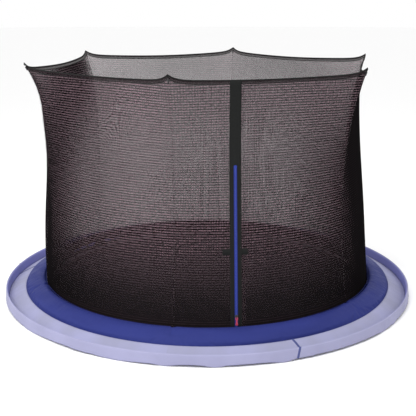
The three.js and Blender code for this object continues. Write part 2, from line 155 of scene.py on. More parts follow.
CAMERA_TARGET_HEIGHT = 0.7944
CAMERA_DISTANCE = 6.773
CAMERA_ELEVATION = 13.286
CAMERA_LENS = 71.16
CAMERA_SHIFT = (0.0020, -0.0421)

# --- Colours, linear ---

# NET_THREAD and NET_SHADE: the threads' colour in painted light and in painted shade. WALE_CROSSING: the
# cords' black with painted light where the rows cross.
NET_THREAD = (0.48, 0.315, 0.370)
NET_SHADE = (0.010, 0.0068, 0.0078)
WALE_BLACK = (0.0032, 0.0027, 0.0030)
WALE_CROSSING = (0.010, 0.0078, 0.0086)
BLACK_WEBBING = (0.0110, 0.0118, 0.0114)
MAT_COLOUR = (0.0045, 0.0038, 0.0041)
PAD_BLUE = (0.028, 0.037, 0.180)
LAVENDER = (0.325, 0.328, 0.500)
LAVENDER_SHADE = (0.290, 0.293, 0.410)
# nearly the apron's lavender, a touch greyer: painted light, set so the upright skirt matches the apron as
# the light falls on it
SKIRT_LAVENDER = (0.330, 0.330, 0.490)
RIM_PURPLE = (0.30, 0.31, 0.66)
PIPING_BLUE = (0.085, 0.10, 0.25)
ZIP_BLUE = (0.028, 0.044, 0.25)
PULL_RED = (0.42, 0.030, 0.070)
THREAD_BLACK = (0.014, 0.0135, 0.014)
GALVANISED = (0.56, 0.58, 0.60)
SPRING_STEEL = (0.12, 0.12, 0.125)
BLACKENED = (0.020, 0.020, 0.021)
BLACK_PLASTIC = (0.016, 0.016, 0.018)
ROD_COLOUR = (0.060, 0.048, 0.052)
FLOOR_COLOUR = (0.97, 0.97, 0.97)


# --- Node helpers ---


class Shader:
    """A material under construction: a Principled BSDF and short names for common nodes."""

    def __init__(self, name, roughness, metallic=0.0, gloss=0.5):
        self.material = bpy.data.materials.new(name)
        self.material.use_nodes = True
        self.tree = self.material.node_tree
        self.bsdf = self.tree.nodes["Principled BSDF"]
        self.bsdf.inputs["Roughness"].default_value = roughness
        self.bsdf.inputs["Metallic"].default_value = metallic
        self.bsdf.inputs["Specular IOR Level"].default_value = gloss
        coordinates = self.tree.nodes.new("ShaderNodeTexCoord")
        self.place = coordinates.outputs["Object"]
        self.uv = coordinates.outputs["UV"]

    def link(self, source, target):
        self.tree.links.new(source, target)

    def math(self, operation, *values):
        node = self.tree.nodes.new("ShaderNodeMath")
        node.operation = operation
        for socket, value in zip(node.inputs, values):
            if isinstance(value, (int, float)):
                socket.default_value = value
            else:
                self.link(value, socket)
        return node.outputs[0]

    def noise(self, vector, scale, detail, roughness=0.5):
        node = self.tree.nodes.new("ShaderNodeTexNoise")
        node.inputs["Scale"].default_value = scale
        node.inputs["Detail"].default_value = detail
        node.inputs["Roughness"].default_value = roughness
        self.link(vector, node.inputs["Vector"])
        return node.outputs["Fac"]

    def span(self, value, low, high, to_low=0.0, to_high=1.0):
        node = self.tree.nodes.new("ShaderNodeMapRange")
        node.interpolation_type = "SMOOTHSTEP"
        for name, number in (
            ("From Min", low), ("From Max", high), ("To Min", to_low), ("To Max", to_high),
        ):
            node.inputs[name].default_value = number
        self.link(value, node.inputs["Value"])
        return node.outputs["Result"]

    def mix(self, factor, first, second):
        node = self.tree.nodes.new("ShaderNodeMix")
        node.data_type = "RGBA"
        self.link(factor, node.inputs["Factor"])
        node.inputs[6].default_value = (*first, 1.0)
        node.inputs[7].default_value = (*second, 1.0)
        return node.outputs[2]

    def grain(self, vector, scales, detail=3.0, roughness=0.5):
        """Noise with its own scale along each axis."""
        node = self.tree.nodes.new("ShaderNodeMapping")
        node.inputs["Scale"].default_value = scales
        self.link(vector, node.inputs["Vector"])
        return self.noise(node.outputs["Vector"], 1.0, detail, roughness)

    def parts(self, vector):
        node = self.tree.nodes.new("ShaderNodeSeparateXYZ")
        self.link(vector, node.inputs[0])
        return node.outputs[0], node.outputs[1], node.outputs[2]

    def bump(self, height, distance, strength):
        node = self.tree.nodes.new("ShaderNodeBump")
        node.inputs["Strength"].default_value = strength
        node.inputs["Distance"].default_value = distance
        self.link(height, node.inputs["Height"])
        self.link(node.outputs["Normal"], self.bsdf.inputs["Normal"])

    def colour(self, output):
        self.link(output, self.bsdf.inputs["Base Color"])

    def ripple(self, value, pitch):
        """A wave from -1 to 1 that repeats every pitch."""
        return self.math("SINE", self.math("MULTIPLY", value, 2 * math.pi / pitch))


def shaded(colour, factor):
    return tuple(min(c * factor, 1.0) for c in colour)


# --- Materials ---


def knit_rows(shader):
    """Where the knit's rows are bright with painted light: from 0 to 1, and the height they are measured by.
    """
    _, _, height = shader.parts(shader.place)
    drift = shader.grain(shader.place, (1.4, 1.4, 2.5), 2.0)
    waver = shader.math("MULTIPLY_ADD", drift, 0.008, height)
    row = shader.math("MULTIPLY_ADD", shader.ripple(waver, NET_ROW_PITCH), 0.5, 0.5)
    return shader.span(row, 0.20, 0.85), height


def net_mesh_material():
    """See-through knitted mesh: rows of bright threads with shaded ones between them.

    Its lower border is knitted close and black. The mesh is a little denser near its hem and more
    opaque low down, and its bright threads fade into painted shade towards the foot."""
    shader = Shader("net_mesh", 0.8, gloss=0.08)
    around, _, _ = shader.parts(shader.uv)
    row, height = knit_rows(shader)
    knots = shader.grain(shader.uv, (70.0, 50.0, 1.0), 2.0)
    dashes = shader.math("MULTIPLY_ADD", shader.ripple(around, NET_COLUMN_PITCH), 0.22, 0.78)
    streaks = shader.grain(shader.uv, (3.0, 0.5, 1.0), 2.0)
    # painted light on the rows' threads, with painted shade on the threads between them; the rows are also a
    # little more opaque
    bright = shader.math("MULTIPLY", row, shader.span(knots, 0.25, 0.62, 0.35, 1.0))
    bright = shader.math("MULTIPLY", bright, dashes)
    border = shader.span(height, 0.165, 0.195, 0.6, 0.0)
    crown = shader.span(height, 1.35, 1.70, 0.0, 0.12)
    more_opaque_low = shader.span(height, 0.5, 1.3, 0.14, 0.0)
    alpha = shader.math("MULTIPLY_ADD", bright, 0.05, 0.45)
    for extra in (shader.math("MULTIPLY_ADD", streaks, 0.12, -0.06), border, crown, more_opaque_low):
        alpha = shader.math("ADD", alpha, extra)
    shader.link(shader.math("MINIMUM", alpha, 0.98), shader.bsdf.inputs["Alpha"])
    # painted shade: the threads darken towards the foot
    painted_row_light_and_foot_shade = shader.math("MULTIPLY", bright, shader.span(height, 0.20, 1.00, 0.05, 1.0))
    shader.colour(shader.mix(painted_row_light_and_foot_shade, NET_SHADE, NET_THREAD))
    return shader.material


def net_wale_material():
    """The upright cords of the knit: black and matt, with painted light where the rows cross,
    fading into painted shade towards the foot.
    """
    shader = Shader("net_wale", 0.9, gloss=0.05)
    row, height = knit_rows(shader)
    # painted light at the crossings, fading into painted shade towards the foot
    painted_row_light_and_foot_shade = shader.math("MULTIPLY", row, shader.span(height, 0.15, 1.2, 0.6, 1.0))
    shader.colour(shader.mix(painted_row_light_and_foot_shade, WALE_BLACK, WALE_CROSSING))
    return shader.material


def hem_material():
    """The net folded double: close-knit along its top, and open enough below to see through."""
    shader = Shader("net_hem_mesh", 0.8, gloss=0.08)
    grain = shader.grain(shader.uv, (190.0, 120.0, 1.0), 2.0)
    _, rise, _ = shader.parts(shader.uv)
    from_top = shader.math("ABSOLUTE", shader.math("SUBTRACT", rise, HEM_DEPTH + 0.0015))
    close = shader.span(from_top, 0.007, 0.016, 0.90, 0.64)
    alpha = shader.math("MULTIPLY_ADD", grain, 0.08, close)
    shader.link(alpha, shader.bsdf.inputs["Alpha"])
    shader.colour(shader.mix(grain, shaded(NET_THREAD, 0.02), shaded(NET_THREAD, 0.06)))
    return shader.material


def binding_material():
    """Fine close mesh, greyer than the net."""
    shader = Shader("binding_mesh", 0.8, gloss=0.08)
    grain = shader.grain(shader.uv, (500.0, 300.0, 1.0), 2.0)
    shader.link(shader.span(grain, 0.3, 0.7, 0.12, 0.24), shader.bsdf.inputs["Alpha"])
    shader.colour(shader.mix(grain, shaded(NET_THREAD, 0.10), shaded(NET_THREAD, 0.17)))
    return shader.material


def webbing_material(name, colour, pitch=0.0022, depth=0.0004):
    """Close-woven tape: a herringbone of small raised picks."""
    shader = Shader(name, 0.85, gloss=0.12)
    across, along, _ = shader.parts(shader.uv)
    slant = shader.math("ADD", across, along)
    picks = shader.math("MULTIPLY", shader.ripple(slant, pitch), shader.ripple(across, pitch * 2))
    tone = shader.grain(shader.uv, (60.0, 60.0, 60.0))
    shader.colour(shader.mix(tone, shaded(colour, 0.78), shaded(colour, 1.3)))
    shader.bump(picks, depth, 0.6)
    return shader.material


def coated_cloth_material(name, colour, shade, tone_scale=(1.2, 6.0), roughness=0.48):
    """Coated cloth: a fine woven scrim under a smooth skin, with soft creases and dull patches."""
    shader = Shader(name, roughness, gloss=0.06)
    around, across, _ = shader.parts(shader.uv)
    scrim = shader.math("MULTIPLY", shader.ripple(around, 0.0018), shader.ripple(across, 0.0018))
    creases = shader.grain(shader.uv, (26.0, 9.0, 1.0), 4.0, 0.6)
    height = shader.math("MULTIPLY_ADD", scrim, 0.08, creases)
    broad = shader.grain(shader.uv, (*tone_scale, 1.0))
    shader.colour(shader.mix(shader.span(broad, 0.3, 0.7), shade, colour))
    shine = shader.span(creases, 0.3, 0.7, roughness - 0.06, roughness + 0.12)
    shader.link(shine, shader.bsdf.inputs["Roughness"])
    shader.bump(height, 0.0016, 0.55)
    return shader.material


def mat_material():
    """Tight woven polypropylene, a little dusty in patches."""
    shader = Shader("mat_weave", 0.75, gloss=0.10)
    x, y, _ = shader.parts(shader.place)
    weave = shader.math("MULTIPLY", shader.ripple(x, 0.004), shader.ripple(y, 0.004))
    dust = shader.span(shader.grain(shader.place, (2.0, 2.0, 2.0), 4.0, 0.6), 0.35, 0.75)
    shader.colour(shader.mix(dust, MAT_COLOUR, shaded(MAT_COLOUR, 1.8)))
    shader.bump(weave, 0.0005, 0.5)
    return shader.material


def steel_material(name, colour, roughness, spangle):
    """Zinc on steel: faint spangle and duller patches."""
    shader = Shader(name, roughness, metallic=0.9)
    patches = shader.grain(shader.place, (spangle, spangle, spangle), 4.0, 0.6)
    shader.colour(shader.mix(patches, shaded(colour, 0.82), shaded(colour, 1.08)))
    shine = shader.span(patches, 0.3, 0.7, roughness - 0.07, roughness + 0.12)
    shader.link(shine, shader.bsdf.inputs["Roughness"])
    shader.bump(patches, 0.0002, 0.3)
    return shader.material


def moulded_material(name, colour, roughness):
    """Moulded plastic with a fine spark-eroded grain."""
    shader = Shader(name, roughness)
    grain = shader.noise(shader.place, 1400.0, 2.0)
    tone = shader.noise(shader.place, 35.0, 3.0)
    shader.colour(shader.mix(tone, shaded(colour, 0.86), shaded(colour, 1.1)))
    shader.bump(grain, 0.0001, 0.35)
    return shader.material


def rod_material():
    """Drawn glass fibre, which is translucent: fine lengthwise strands in clear resin."""
    shader = Shader("rod_fibreglass", 0.45, gloss=0.2)
    strands = shader.grain(shader.place, (900.0, 900.0, 6.0), 2.0)
    shader.link(shader.span(strands, 0.3, 0.7, 0.09, 0.15), shader.bsdf.inputs["Alpha"])
    shader.colour(shader.mix(strands, shaded(ROD_COLOUR, 0.7), shaded(ROD_COLOUR, 1.3)))
    return shader.material


# --- Mesh helpers ---


def cylinder_points(azimuth, radius, height):
    """Points at azimuths, radii and heights, which are arrays that broadcast together."""
    angle = np.radians(azimuth)
    x, y, z = np.broadcast_arrays(radius * np.cos(angle), radius * np.sin(angle), height)
    return np.stack([x, y, z], axis=-1).astype(float)


def new_object(name, points, faces, material, uv=None, smooth=True):
    mesh = bpy.data.meshes.new(name)
    mesh.from_pydata(np.asarray(points).reshape(-1, 3).tolist(), [], faces)
    if uv is not None:
        layer = mesh.uv_layers.new(name="metres")
        layer.data.foreach_set("uv", np.asarray(uv, np.float32).ravel())
    kit = bmesh.new()
    kit.from_mesh(mesh)
    bmesh.ops.recalc_face_normals(kit, faces=kit.faces)
    kit.to_mesh(mesh)
    kit.free()
    if smooth:
        mesh.shade_smooth()
    mesh.materials.append(material)
    piece = bpy.data.objects.new(name, mesh)
    bpy.context.scene.collection.objects.link(piece)
    return piece


def grid_faces(columns, rows, wrap_columns, wrap_rows):
    """Quads over a grid of columns x rows vertices, and each corner's column and row."""
    i = np.arange(columns if wrap_columns else columns - 1)
    j = np.arange(rows if wrap_rows else rows - 1)
    i, j = (a.ravel() for a in np.meshgrid(i, j, indexing="ij"))
    corner_column = np.stack([i, i + 1, i + 1, i], axis=1)
    corner_row = np.stack([j, j, j + 1, j + 1], axis=1)
    faces = (corner_column % columns) * rows + corner_row % rows
    return faces, corner_column, corner_row


def run_lengths(points, wrap):
    """The distance along a line of points, with the closing step where it wraps."""
    ends = np.vstack([points, points[:1]]) if wrap else points
    steps = np.linalg.norm(np.diff(ends, axis=0), axis=1)
    return np.concatenate([[0.0], np.cumsum(steps)])


def grid_object(name, points, material, wrap_columns=False, wrap_rows=False):
    """A surface over an array of points, columns x rows x 3, with UVs in metres."""
    single = Gathered()
    single.add_grid(points, wrap_columns, wrap_rows)
    return single.build(name, material)


def band(name, azimuth, outline, material):
    """A closed band round the ring, from the radii and heights of its outline."""
    rings = [cylinder_points(azimuth, radius, height) for radius, height in outline]
    return grid_object(name, np.stack(rings, axis=1), material, True, True)


class Gathered:
    """Grids of one kind, gathered into one object."""

    def __init__(self):
        self.points, self.faces, self.uv = [], [], []
        self.count = 0

    def add_grid(self, points, wrap_columns=False, wrap_rows=False):
        columns, rows = points.shape[:2]
        faces, column, row = grid_faces(columns, rows, wrap_columns, wrap_rows)
        u = run_lengths(points[:, rows // 2], wrap_columns)
        v = run_lengths(points[columns // 2], wrap_rows)
        self.points.append(points.reshape(-1, 3))
        self.faces.extend((faces + self.count).tolist())
        self.uv.append(np.stack([u[column], v[row]], axis=-1).reshape(-1, 2))
        self.count += columns * rows

    def add_ends(self, *rings):
        """A face over each ring of point numbers."""
        self.faces.extend(rings)
        self.uv.append(np.zeros((sum(map(len, rings)), 2)))

    def add_tube(self, path, radius, sides=8, closed=False):
        """A round bar along a path, with closed ends unless the path is a loop."""
        ring = tube_grid(np.asarray(path, float), radius, sides, closed)
        start = self.count
        self.add_grid(ring, wrap_columns=closed, wrap_rows=True)
        if closed:
            return
        last = start + (len(ring) - 1) * sides
        self.add_ends(
            [start + k for k in range(sides)], [last + k for k in reversed(range(sides))]
        )

    def build(self, name, material, smooth=True):
        uv = np.concatenate(self.uv)
        return new_object(name, np.concatenate(self.points), self.faces, material, uv, smooth)


def tube_grid(path, radius, sides, closed):
    """Rings of points round a path, carried along it without twisting."""
    if closed:
        tangents = np.roll(path, -1, axis=0) - np.roll(path, 1, axis=0)
    else:
        tangents = np.gradient(path, axis=0)
    tangents /= np.linalg.norm(tangents, axis=1, keepdims=True)
    normal = np.cross(tangents[0], (0.0, 0.0, 1.0))
    if np.linalg.norm(normal) < 0.1:
        normal = np.cross(tangents[0], (1.0, 0.0, 0.0))
    rings = []
    radii = np.broadcast_to(radius, len(path))
    angles = np.arange(sides) * 2 * math.pi / sides
    for point, tangent, size in zip(path, tangents, radii):
        normal = normal - tangent * normal.dot(tangent)
        normal /= np.linalg.norm(normal)
        side = np.cross(tangent, normal)
        turn = np.outer(np.cos(angles), side) + np.outer(np.sin(angles), normal)
        rings.append(point + size * turn)
    return np.array(rings)


def finish_with(piece, kind, **settings):
    """Applies a modifier to the mesh."""
    modifier = piece.modifiers.new(kind.lower(), kind)
    for key, value in settings.items():
        setattr(modifier, key, value)
    graph = bpy.context.evaluated_depsgraph_get()
    mesh = bpy.data.meshes.new_from_object(piece.evaluated_get(graph))
    piece.modifiers.clear()
    piece.data = mesh


def smooth_line(points, count):
    """Points evenly spread along a smooth curve through the given ones."""
    points = np.asarray(points, float)
    padded = np.vstack([2 * points[0] - points[1], points, 2 * points[-1] - points[-2]])
    dense = []
    for k in range(len(points) - 1):
        p0, p1, p2, p3 = padded[k : k + 4]
        for t in np.linspace(0, 1, 12, endpoint=False):
            a = 2 * p1
            b = (p2 - p0) * t
            c = (2 * p0 - 5 * p1 + 4 * p2 - p3) * t * t
            d = (3 * p1 - p0 - 3 * p2 + p3) * t ** 3
            dense.append((a + b + c + d) / 2)
    dense = np.array(dense + [points[-1]])
    length = run_lengths(dense, False)
    at = np.linspace(0, length[-1], count)
    return np.stack([np.interp(at, length, dense[:, k]) for k in range(dense.shape[1])], axis=1)


def wander(seed, along, across=0.0):
    """Smooth noise from about -1 to 1, by one or two measures that broadcast together."""
    along, across = np.broadcast_arrays(along, across)
    values = [noise.noise(Vector((a, b, seed * 17.3))) for a, b in zip(along.flat, across.flat)]
    return np.array(values).reshape(along.shape)


# --- The net's shape ---


def pole_distance(azimuth):
    """Degrees from the nearest pole."""
    past = np.mod(np.asarray(azimuth, float) - FIRST_POLE, 2 * HALF_PANEL)
    return np.minimum(past, 2 * HALF_PANEL - past)


def top_edge(azimuth):
    """Radius and height of the net's top edge."""
    away = pole_distance(azimuth)
    share = away / HALF_PANEL
    sag = share * (2 - share)
    peak = 1 - np.exp(-np.radians(away) * CORNER_RADIUS / CORNER_PEAK_WIDTH)
    middle = CORNER_RADIUS * math.cos(math.radians(HALF_PANEL))
    chord = middle / np.cos(np.radians(HALF_PANEL - away))
    return chord - SAG_RADIAL * sag, CORNER_HEIGHT - CORNER_PEAK * peak - SAG_VERTICAL * sag


def out_of_round(azimuth, share):
    """How far the net stands out of round: on the left, fuller below and tighter above."""
    side = np.maximum(-np.cos(np.radians(azimuth)), 0) ** 2
    below = np.sin(math.pi * np.minimum(share / NET_CROSSING, 1))
    above = np.sin(math.pi * np.maximum((share - NET_CROSSING) / (1 - NET_CROSSING), 0))
    return side * (NET_FULLNESS * below - NET_DRAWN_IN * above)


def net_point(azimuth, share):
    """Radius and height of the net at a share of its height, from its lower edge to its top."""
    edge_radius, edge_height = top_edge(azimuth)
    base = NET_BOTTOM_RADIUS + (NET_WAIST_RADIUS - NET_BOTTOM_RADIUS) * share / NET_WAIST_SHARE
    flare = (np.clip(share - FLARE_START, 0, 1) / (1 - FLARE_START)) ** FLARE_POWER
    radius = base * (1 - flare) + edge_radius * flare + out_of_round(azimuth, share)
    return radius, NET_BOTTOM + (edge_height - NET_BOTTOM) * share


def net_radius_at(azimuth, height):
    _, edge_height = top_edge(azimuth)
    share = (height - NET_BOTTOM) / (edge_height - NET_BOTTOM)
    return net_point(azimuth, np.clip(share, 0, 1))[0]


def net_azimuths():
    """Azimuths right round the net, closest together at the poles."""
    count = NET_COLUMNS_PER_HALF_PANEL
    out = HALF_PANEL * (np.arange(count) / count) ** 1.35
    back = 2 * HALF_PANEL - HALF_PANEL * (np.arange(count, 0, -1) / count) ** 1.35
    panel = np.concatenate([out, back])
    return np.concatenate([start + panel for start in POLE_AZIMUTHS])


def hem_share(azimuth):
    """The share of the net's height where its hem begins."""
    _, edge_height = top_edge(azimuth)
    return 1 - HEM_DEPTH / (edge_height - NET_BOTTOM)


def in_hem(azimuth, share):
    """Radius and height at a share of the hem's depth, from its lower edge to its top."""
    first = hem_share(azimuth)
    return net_point(azimuth, first + (1 - first) * share)


def net_patch(across, heights, out):
    """A grid of points on the net at the zip: columns across, rows up, moved out from it."""
    centre = net_radius_at(ZIP_AZIMUTH, heights)
    azimuth = ZIP_AZIMUTH + np.degrees(across[:, None] / centre[None, :])
    radius = net_radius_at(azimuth, heights[None, :]) + out
    return cylinder_points(azimuth, radius, heights[None, :])


# --- Net ---


def slack_net_point(azimuth, share):
    """A point of the net below its hem, where it also sways a little between the rods."""
    radius, height = net_point(azimuth, share * hem_share(azimuth))
    sway = wander(1, azimuth * 0.11, height * 1.6)
    from_pole = 1 - np.exp(-pole_distance(azimuth) / 5.0)
    from_zip = 1 - np.exp(-(((azimuth - ZIP_AZIMUTH) / 4.0) ** 2))
    free = np.clip(np.minimum(share, 1 - share) * 4, 0, 1)
    return radius + NET_SWAY * sway * free * from_pole * from_zip, height


def safety_net(material):
    azimuth = net_azimuths()[:, None]
    points = cylinder_points(azimuth, *slack_net_point(azimuth, NET_SHARES))
    net = grid_object("safety_net", points, material, wrap_columns=True)
    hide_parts(*[f"net_panel_{k + 1}" for k in range(POLES)])
    return net


def net_wales(material):
    """The upright cords of the knit, as three-sided bars, so the net closes up seen edge-on."""
    order = np.arange(WALES, dtype=float)
    uneven = wander(20, order * 0.73) * WALE_UNEVENNESS
    azimuth = FIRST_POLE + (order[:, None] + 0.5 + uneven[:, None]) * 360.0 / WALES
    radius, height = slack_net_point(azimuth, NET_SHARES)
    size = WALE_RADIUS * (1 + 0.05 * wander(21, order * 0.61))[:, None, None]
    size = size * (1 + WALE_LEAN * np.cos(np.radians(azimuth)))[:, :, None]
    corners = np.radians([90.0, 210.0, 330.0])
    outward = size * np.sin(corners)
    sideways = np.degrees(size * np.cos(corners) / NET_BOTTOM_RADIUS)
    points = cylinder_points(
        azimuth[:, :, None] + sideways, radius[:, :, None] + outward, height[:, :, None]
    )
    rows = points.shape[1]
    faces, _, _ = grid_faces(rows, 3, False, True)
    offsets = np.arange(WALES) * rows * 3
    every = (offsets[:, None, None] + faces[None]).reshape(-1, 4)
    return new_object("net_wales", points, every.tolist(), material)


def net_hem(material, cord_material):
    azimuth = net_azimuths()
    outline = []
    for share, back in ((0, 0), (1, 0), (1, HEM_THICKNESS), (0, HEM_THICKNESS)):
        radius, height = in_hem(azimuth, share)
        outline.append((radius - back, height))
    hem = band("net_top_hem_fold", azimuth, outline, material)
    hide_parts("net_top_hem")
    cords = Gathered()
    for share, size in ((0.98, 0.0044), (0.06, 0.0022)):
        radius, height = in_hem(azimuth, share)
        cords.add_tube(cylinder_points(azimuth, radius - CORD_BACK, height), size, 8, True)
    return hem, cords.build("net_hem_cords", cord_material)


def bottom_webbing(material, thread):
    """The tape round the net's lower edge, and the elastic loops that hold it to the rings."""
    azimuth = net_azimuths()
    outline = []
    for height, out in ((0.050, 0.0012), (0.076, 0.0), (0.076, -0.0026), (0.050, -0.0014)):
        radius = net_radius_at(azimuth, np.maximum(height, NET_BOTTOM))
        outline.append((radius + out, height))
    tape = band("net_bottom_tape", azimuth, outline, material)
    half = [
        (1.3225, 0.004, 0.064), (1.3245, 0.005, 0.056), (1.323, 0.006, 0.046),
        (1.3195, 0.005, 0.034),
    ]
    mirrored = [(out, -across, up) for out, across, up in half]
    line = smooth_line([*mirrored, (1.3165, 0.0, 0.0295), *half[::-1]], 24)
    loops = Gathered()
    for at in SPRING_AZIMUTHS:
        loops.add_tube(turned_to(at, line), 0.0016, 6)
    return tape, loops.build("net_bottom_loops", thread)


def turned_to(azimuth, points):
    """Points given as (out, across, up) at azimuth 0, turned to an azimuth."""
    points = np.asarray(points, float)
    angle = math.radians(azimuth)
    turn = np.array([
        [math.cos(angle), math.sin(angle), 0],
        [-math.sin(angle), math.cos(angle), 0],
        [0, 0, 1],
    ])
    return points @ turn


# --- Rods and their caps ---


def rod_line(azimuth):
    """A rod's centreline as (out, 0, up): upright in its socket, then close along the net."""
    foot = NET_BOTTOM_RADIUS + ROD_CLEARANCE
    shares = np.linspace(0.12, 0.982, 40)
    radius, height = net_point(azimuth, shares)
    gap = np.interp(shares, (0.12, 0.3, 1.0), (ROD_CLEARANCE, ROD_GAP, ROD_GAP))
    leaning = np.stack([radius + gap, 0 * radius, height], axis=1)
    straight = [(foot, 0, z) for z in (0.014, 0.05, 0.1, 0.15)]
    return smooth_line(np.vstack([straight, leaning]), 70)


def net_rods(glass, plastic, webbing):
    rods, caps, loops = Gathered(), Gathered(), Gathered()
    cap_profile = np.array([
        (-0.022, 0.0046), (-0.0215, 0.0053), (-0.006, 0.0058), (0.001, 0.0058),
        (0.005, 0.0050), (0.0075, 0.0032), (0.0085, 0.0008),
    ])
    for azimuth in POLE_AZIMUTHS:
        line = rod_line(azimuth)
        direction = line[-1] - line[-3]
        direction /= np.linalg.norm(direction)
        cap_line = line[-1] + direction * cap_profile[:, :1]
        rods.add_tube(turned_to(azimuth, line), ROD_RADIUS, 10)
        caps.add_tube(turned_to(azimuth, cap_line), cap_profile[:, 1], 20)
        add_corner_loops(loops, azimuth)
    rod = rods.build("net_rods_glass_fibre", glass)
    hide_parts(*[f"net_rod_{k + 1}" for k in range(POLES)])
    cap = caps.build("rod_end_caps", plastic)
    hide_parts(*[f"rod_cap_{k + 1}" for k in range(POLES)])
    return rod, cap, loops.build("hem_corner_loops", webbing)


def add_corner_loops(loops, azimuth):
    """The hem's two elastic loops over a rod's cap, one from each side of the corner."""
    for side in (-1, 1):
        line = []
        for turn in np.linspace(0.0, 2 * math.pi, 25)[:-1]:
            across = side * (0.009 + 0.008 * math.cos(turn))
            up = 0.0035 * math.sin(turn)
            at = azimuth + math.degrees(across / CORNER_RADIUS)
            radius, _ = net_point(at, 1.0)
            level = CORNER_HEIGHT - 0.0115 - 0.05 * abs(across)
            line.append(cylinder_points(at, radius + 0.001, level + up))
        loops.add_tube(np.array(line), 0.0020, 8, True)


# --- Entrance ---


def ribbon(name, material, width, heights, low, high, round_top=0.0):
    """A thin strip on the net at the zip, between two distances out from it."""
    across = np.linspace(-1, 1, 9) * width / 2
    outer = net_patch(across, heights, high)
    inner = net_patch(across, heights, low)
    if round_top:
        for grid in (outer, inner):
            drop = round_top * (1 - np.sqrt(1 - (across / (width / 2 * 1.0001)) ** 2))
            grid[:, -1, 2] -= drop
            grid[:, -2, 2] = np.minimum(grid[:, -2, 2], grid[:, -1, 2] - 0.0005)
    closed = np.concatenate([outer, inner[:, ::-1]], axis=1)
    strip = Gathered()
    strip.add_grid(closed, wrap_rows=True)
    for column in (0, len(across) - 1):
        close_side(strip, column * closed.shape[1], len(heights))
    return strip.build(name, material)


def close_side(strip, first, count):
    """Closes one long side of a ribbon with quads between its outer and inner faces."""
    last = first + 2 * count - 1
    faces = [[first + k, first + k + 1, last - k - 1, last - k] for k in range(count - 1)]
    heights = strip.points[0][np.ravel(faces), 2]
    strip.faces.extend(faces)
    strip.uv.append(np.stack([0 * heights, heights], axis=1))


def stitches(rows, out, thread, name):
    """Rows of short stitches up the net at the zip; each row is (across, low, high)."""
    gathered = Gathered()
    for across, low, high in rows:
        for start in np.arange(low, high - STITCH_PITCH * 0.6, STITCH_PITCH):
            heights = start + STITCH_PITCH * np.array([0.0, 0.15, 0.5, 0.62])
            path = net_patch(np.array([across]), heights, out)[0]
            path[1:3] += outward_at(path[1:3].mean(axis=0)) * 0.0004
            gathered.add_tube(path, 0.0005, 4)
    return gathered.build(name, thread)


def outward_at(point):
    flat = np.array([point[0], point[1], 0.0])
    return flat / np.linalg.norm(flat)


def zip_strip(webbing, thread):
    _, edge = top_edge(ZIP_AZIMUTH)
    top = float(edge) - 0.001
    heights = np.linspace(ZIP_BOTTOM, top, 60)
    panel = ribbon("entrance_strip", webbing, ZIP_PANEL_WIDTH, heights, 0.0010, 0.0036)
    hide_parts("zip_panel")
    edge_line = ZIP_PANEL_WIDTH / 2 - 0.004
    rows = [(side * edge_line, ZIP_BOTTOM + 0.004, top - 0.004) for side in (-1, 1)]
    seams = stitches(rows, 0.0038, thread, "entrance_strip_stitches")
    return panel, seams


def strap_patches(material):
    """Webbing sewn over the net's outside, where the buckle's straps are stitched through it."""
    low, high = BUCKLE_HEIGHT - 0.016, BUCKLE_HEIGHT + 0.029
    patches = Gathered()
    for inner, outer in ((-0.034, -0.092), (0.034, 0.085)):
        across = np.linspace(inner, outer, 8)
        front = net_patch(across, np.array([low, high]), 0.0034)
        back = net_patch(across, np.array([high, low]), 0.0014)
        patches.add_grid(np.concatenate([front, back], axis=1), wrap_rows=True)
    return patches.build("strap_sewing_patches", material)


def strip_binding(material):
    """A band of plain fine mesh sewn along the strip's right side."""
    _, edge = top_edge(ZIP_AZIMUTH)
    heights = np.linspace(ZIP_BOTTOM, float(edge) - HEM_DEPTH, 40)
    across = np.linspace(ZIP_PANEL_WIDTH / 2 - 0.004, ZIP_PANEL_WIDTH / 2 + BINDING_WIDTH, 5)
    return grid_object("entrance_binding", net_patch(across, heights, 0.0022), material)


def zip_line(tape_material, teeth_material, thread):
    heights = np.linspace(ZIP_BOTTOM, ZIP_TOP - 0.012, 44)
    heights = np.concatenate([heights, [ZIP_TOP - 0.004, ZIP_TOP]])
    tape = ribbon("zip_tapes", tape_material, ZIP_TAPE_WIDTH, heights, 0.0038, 0.0054, 0.008)
    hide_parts("zip_tape")
    teeth = Gathered()
    pitch = 0.0030
    count = int((ZIP_TOP - 0.02 - ZIP_BOTTOM) / pitch)
    for k in range(count):
        side = 1 if k % 2 else -1
        height = ZIP_BOTTOM + 0.006 + k * pitch
        across = np.array([-0.0014, 0.0040]) * side
        path = net_patch(np.linspace(*across, 4), np.array([height]), 0.0060)[:, 0]
        path[:, 2] += np.array([0.0, 0.0004, 0.0004, 0.0])
        teeth.add_tube(path, 0.0012, 6)
    top = ZIP_TOP - 0.014
    stitch = [(side * 0.0095, ZIP_BOTTOM + 0.004, top) for side in (-1, 1)]
    sewn = stitches(stitch, 0.0056, thread, "zip_tape_stitches")
    return tape, teeth.build("zip_teeth", teeth_material), sewn


class Axes:
    """A place with three directions: out from the net, to the right seen from outside, and up."""

    def __init__(self, origin, right, up):
        self.origin = np.array(origin)
        self.right = np.array(right)
        self.up = np.array(up)
        self.out = np.cross(self.right, self.up)

    def place(self, points):
        """Points given as (out, right, up)."""
        points = np.asarray(points, float)
        return self.origin + points @ np.array([self.out, self.right, self.up])


def prism(name, axes, outline, low, high, material):
    """An outline of (right, up) points, made solid between two distances out."""
    count = len(outline)
    front = [(high, *p) for p in outline]
    back = [(low, *p) for p in outline]
    faces = [list(range(count)), [2 * count - 1 - k for k in range(count)]]
    for k in range(count):
        after = (k + 1) % count
        faces.append([k, k + count, after + count, after])
    return new_object(name, axes.place(front + back), faces, material, smooth=False)


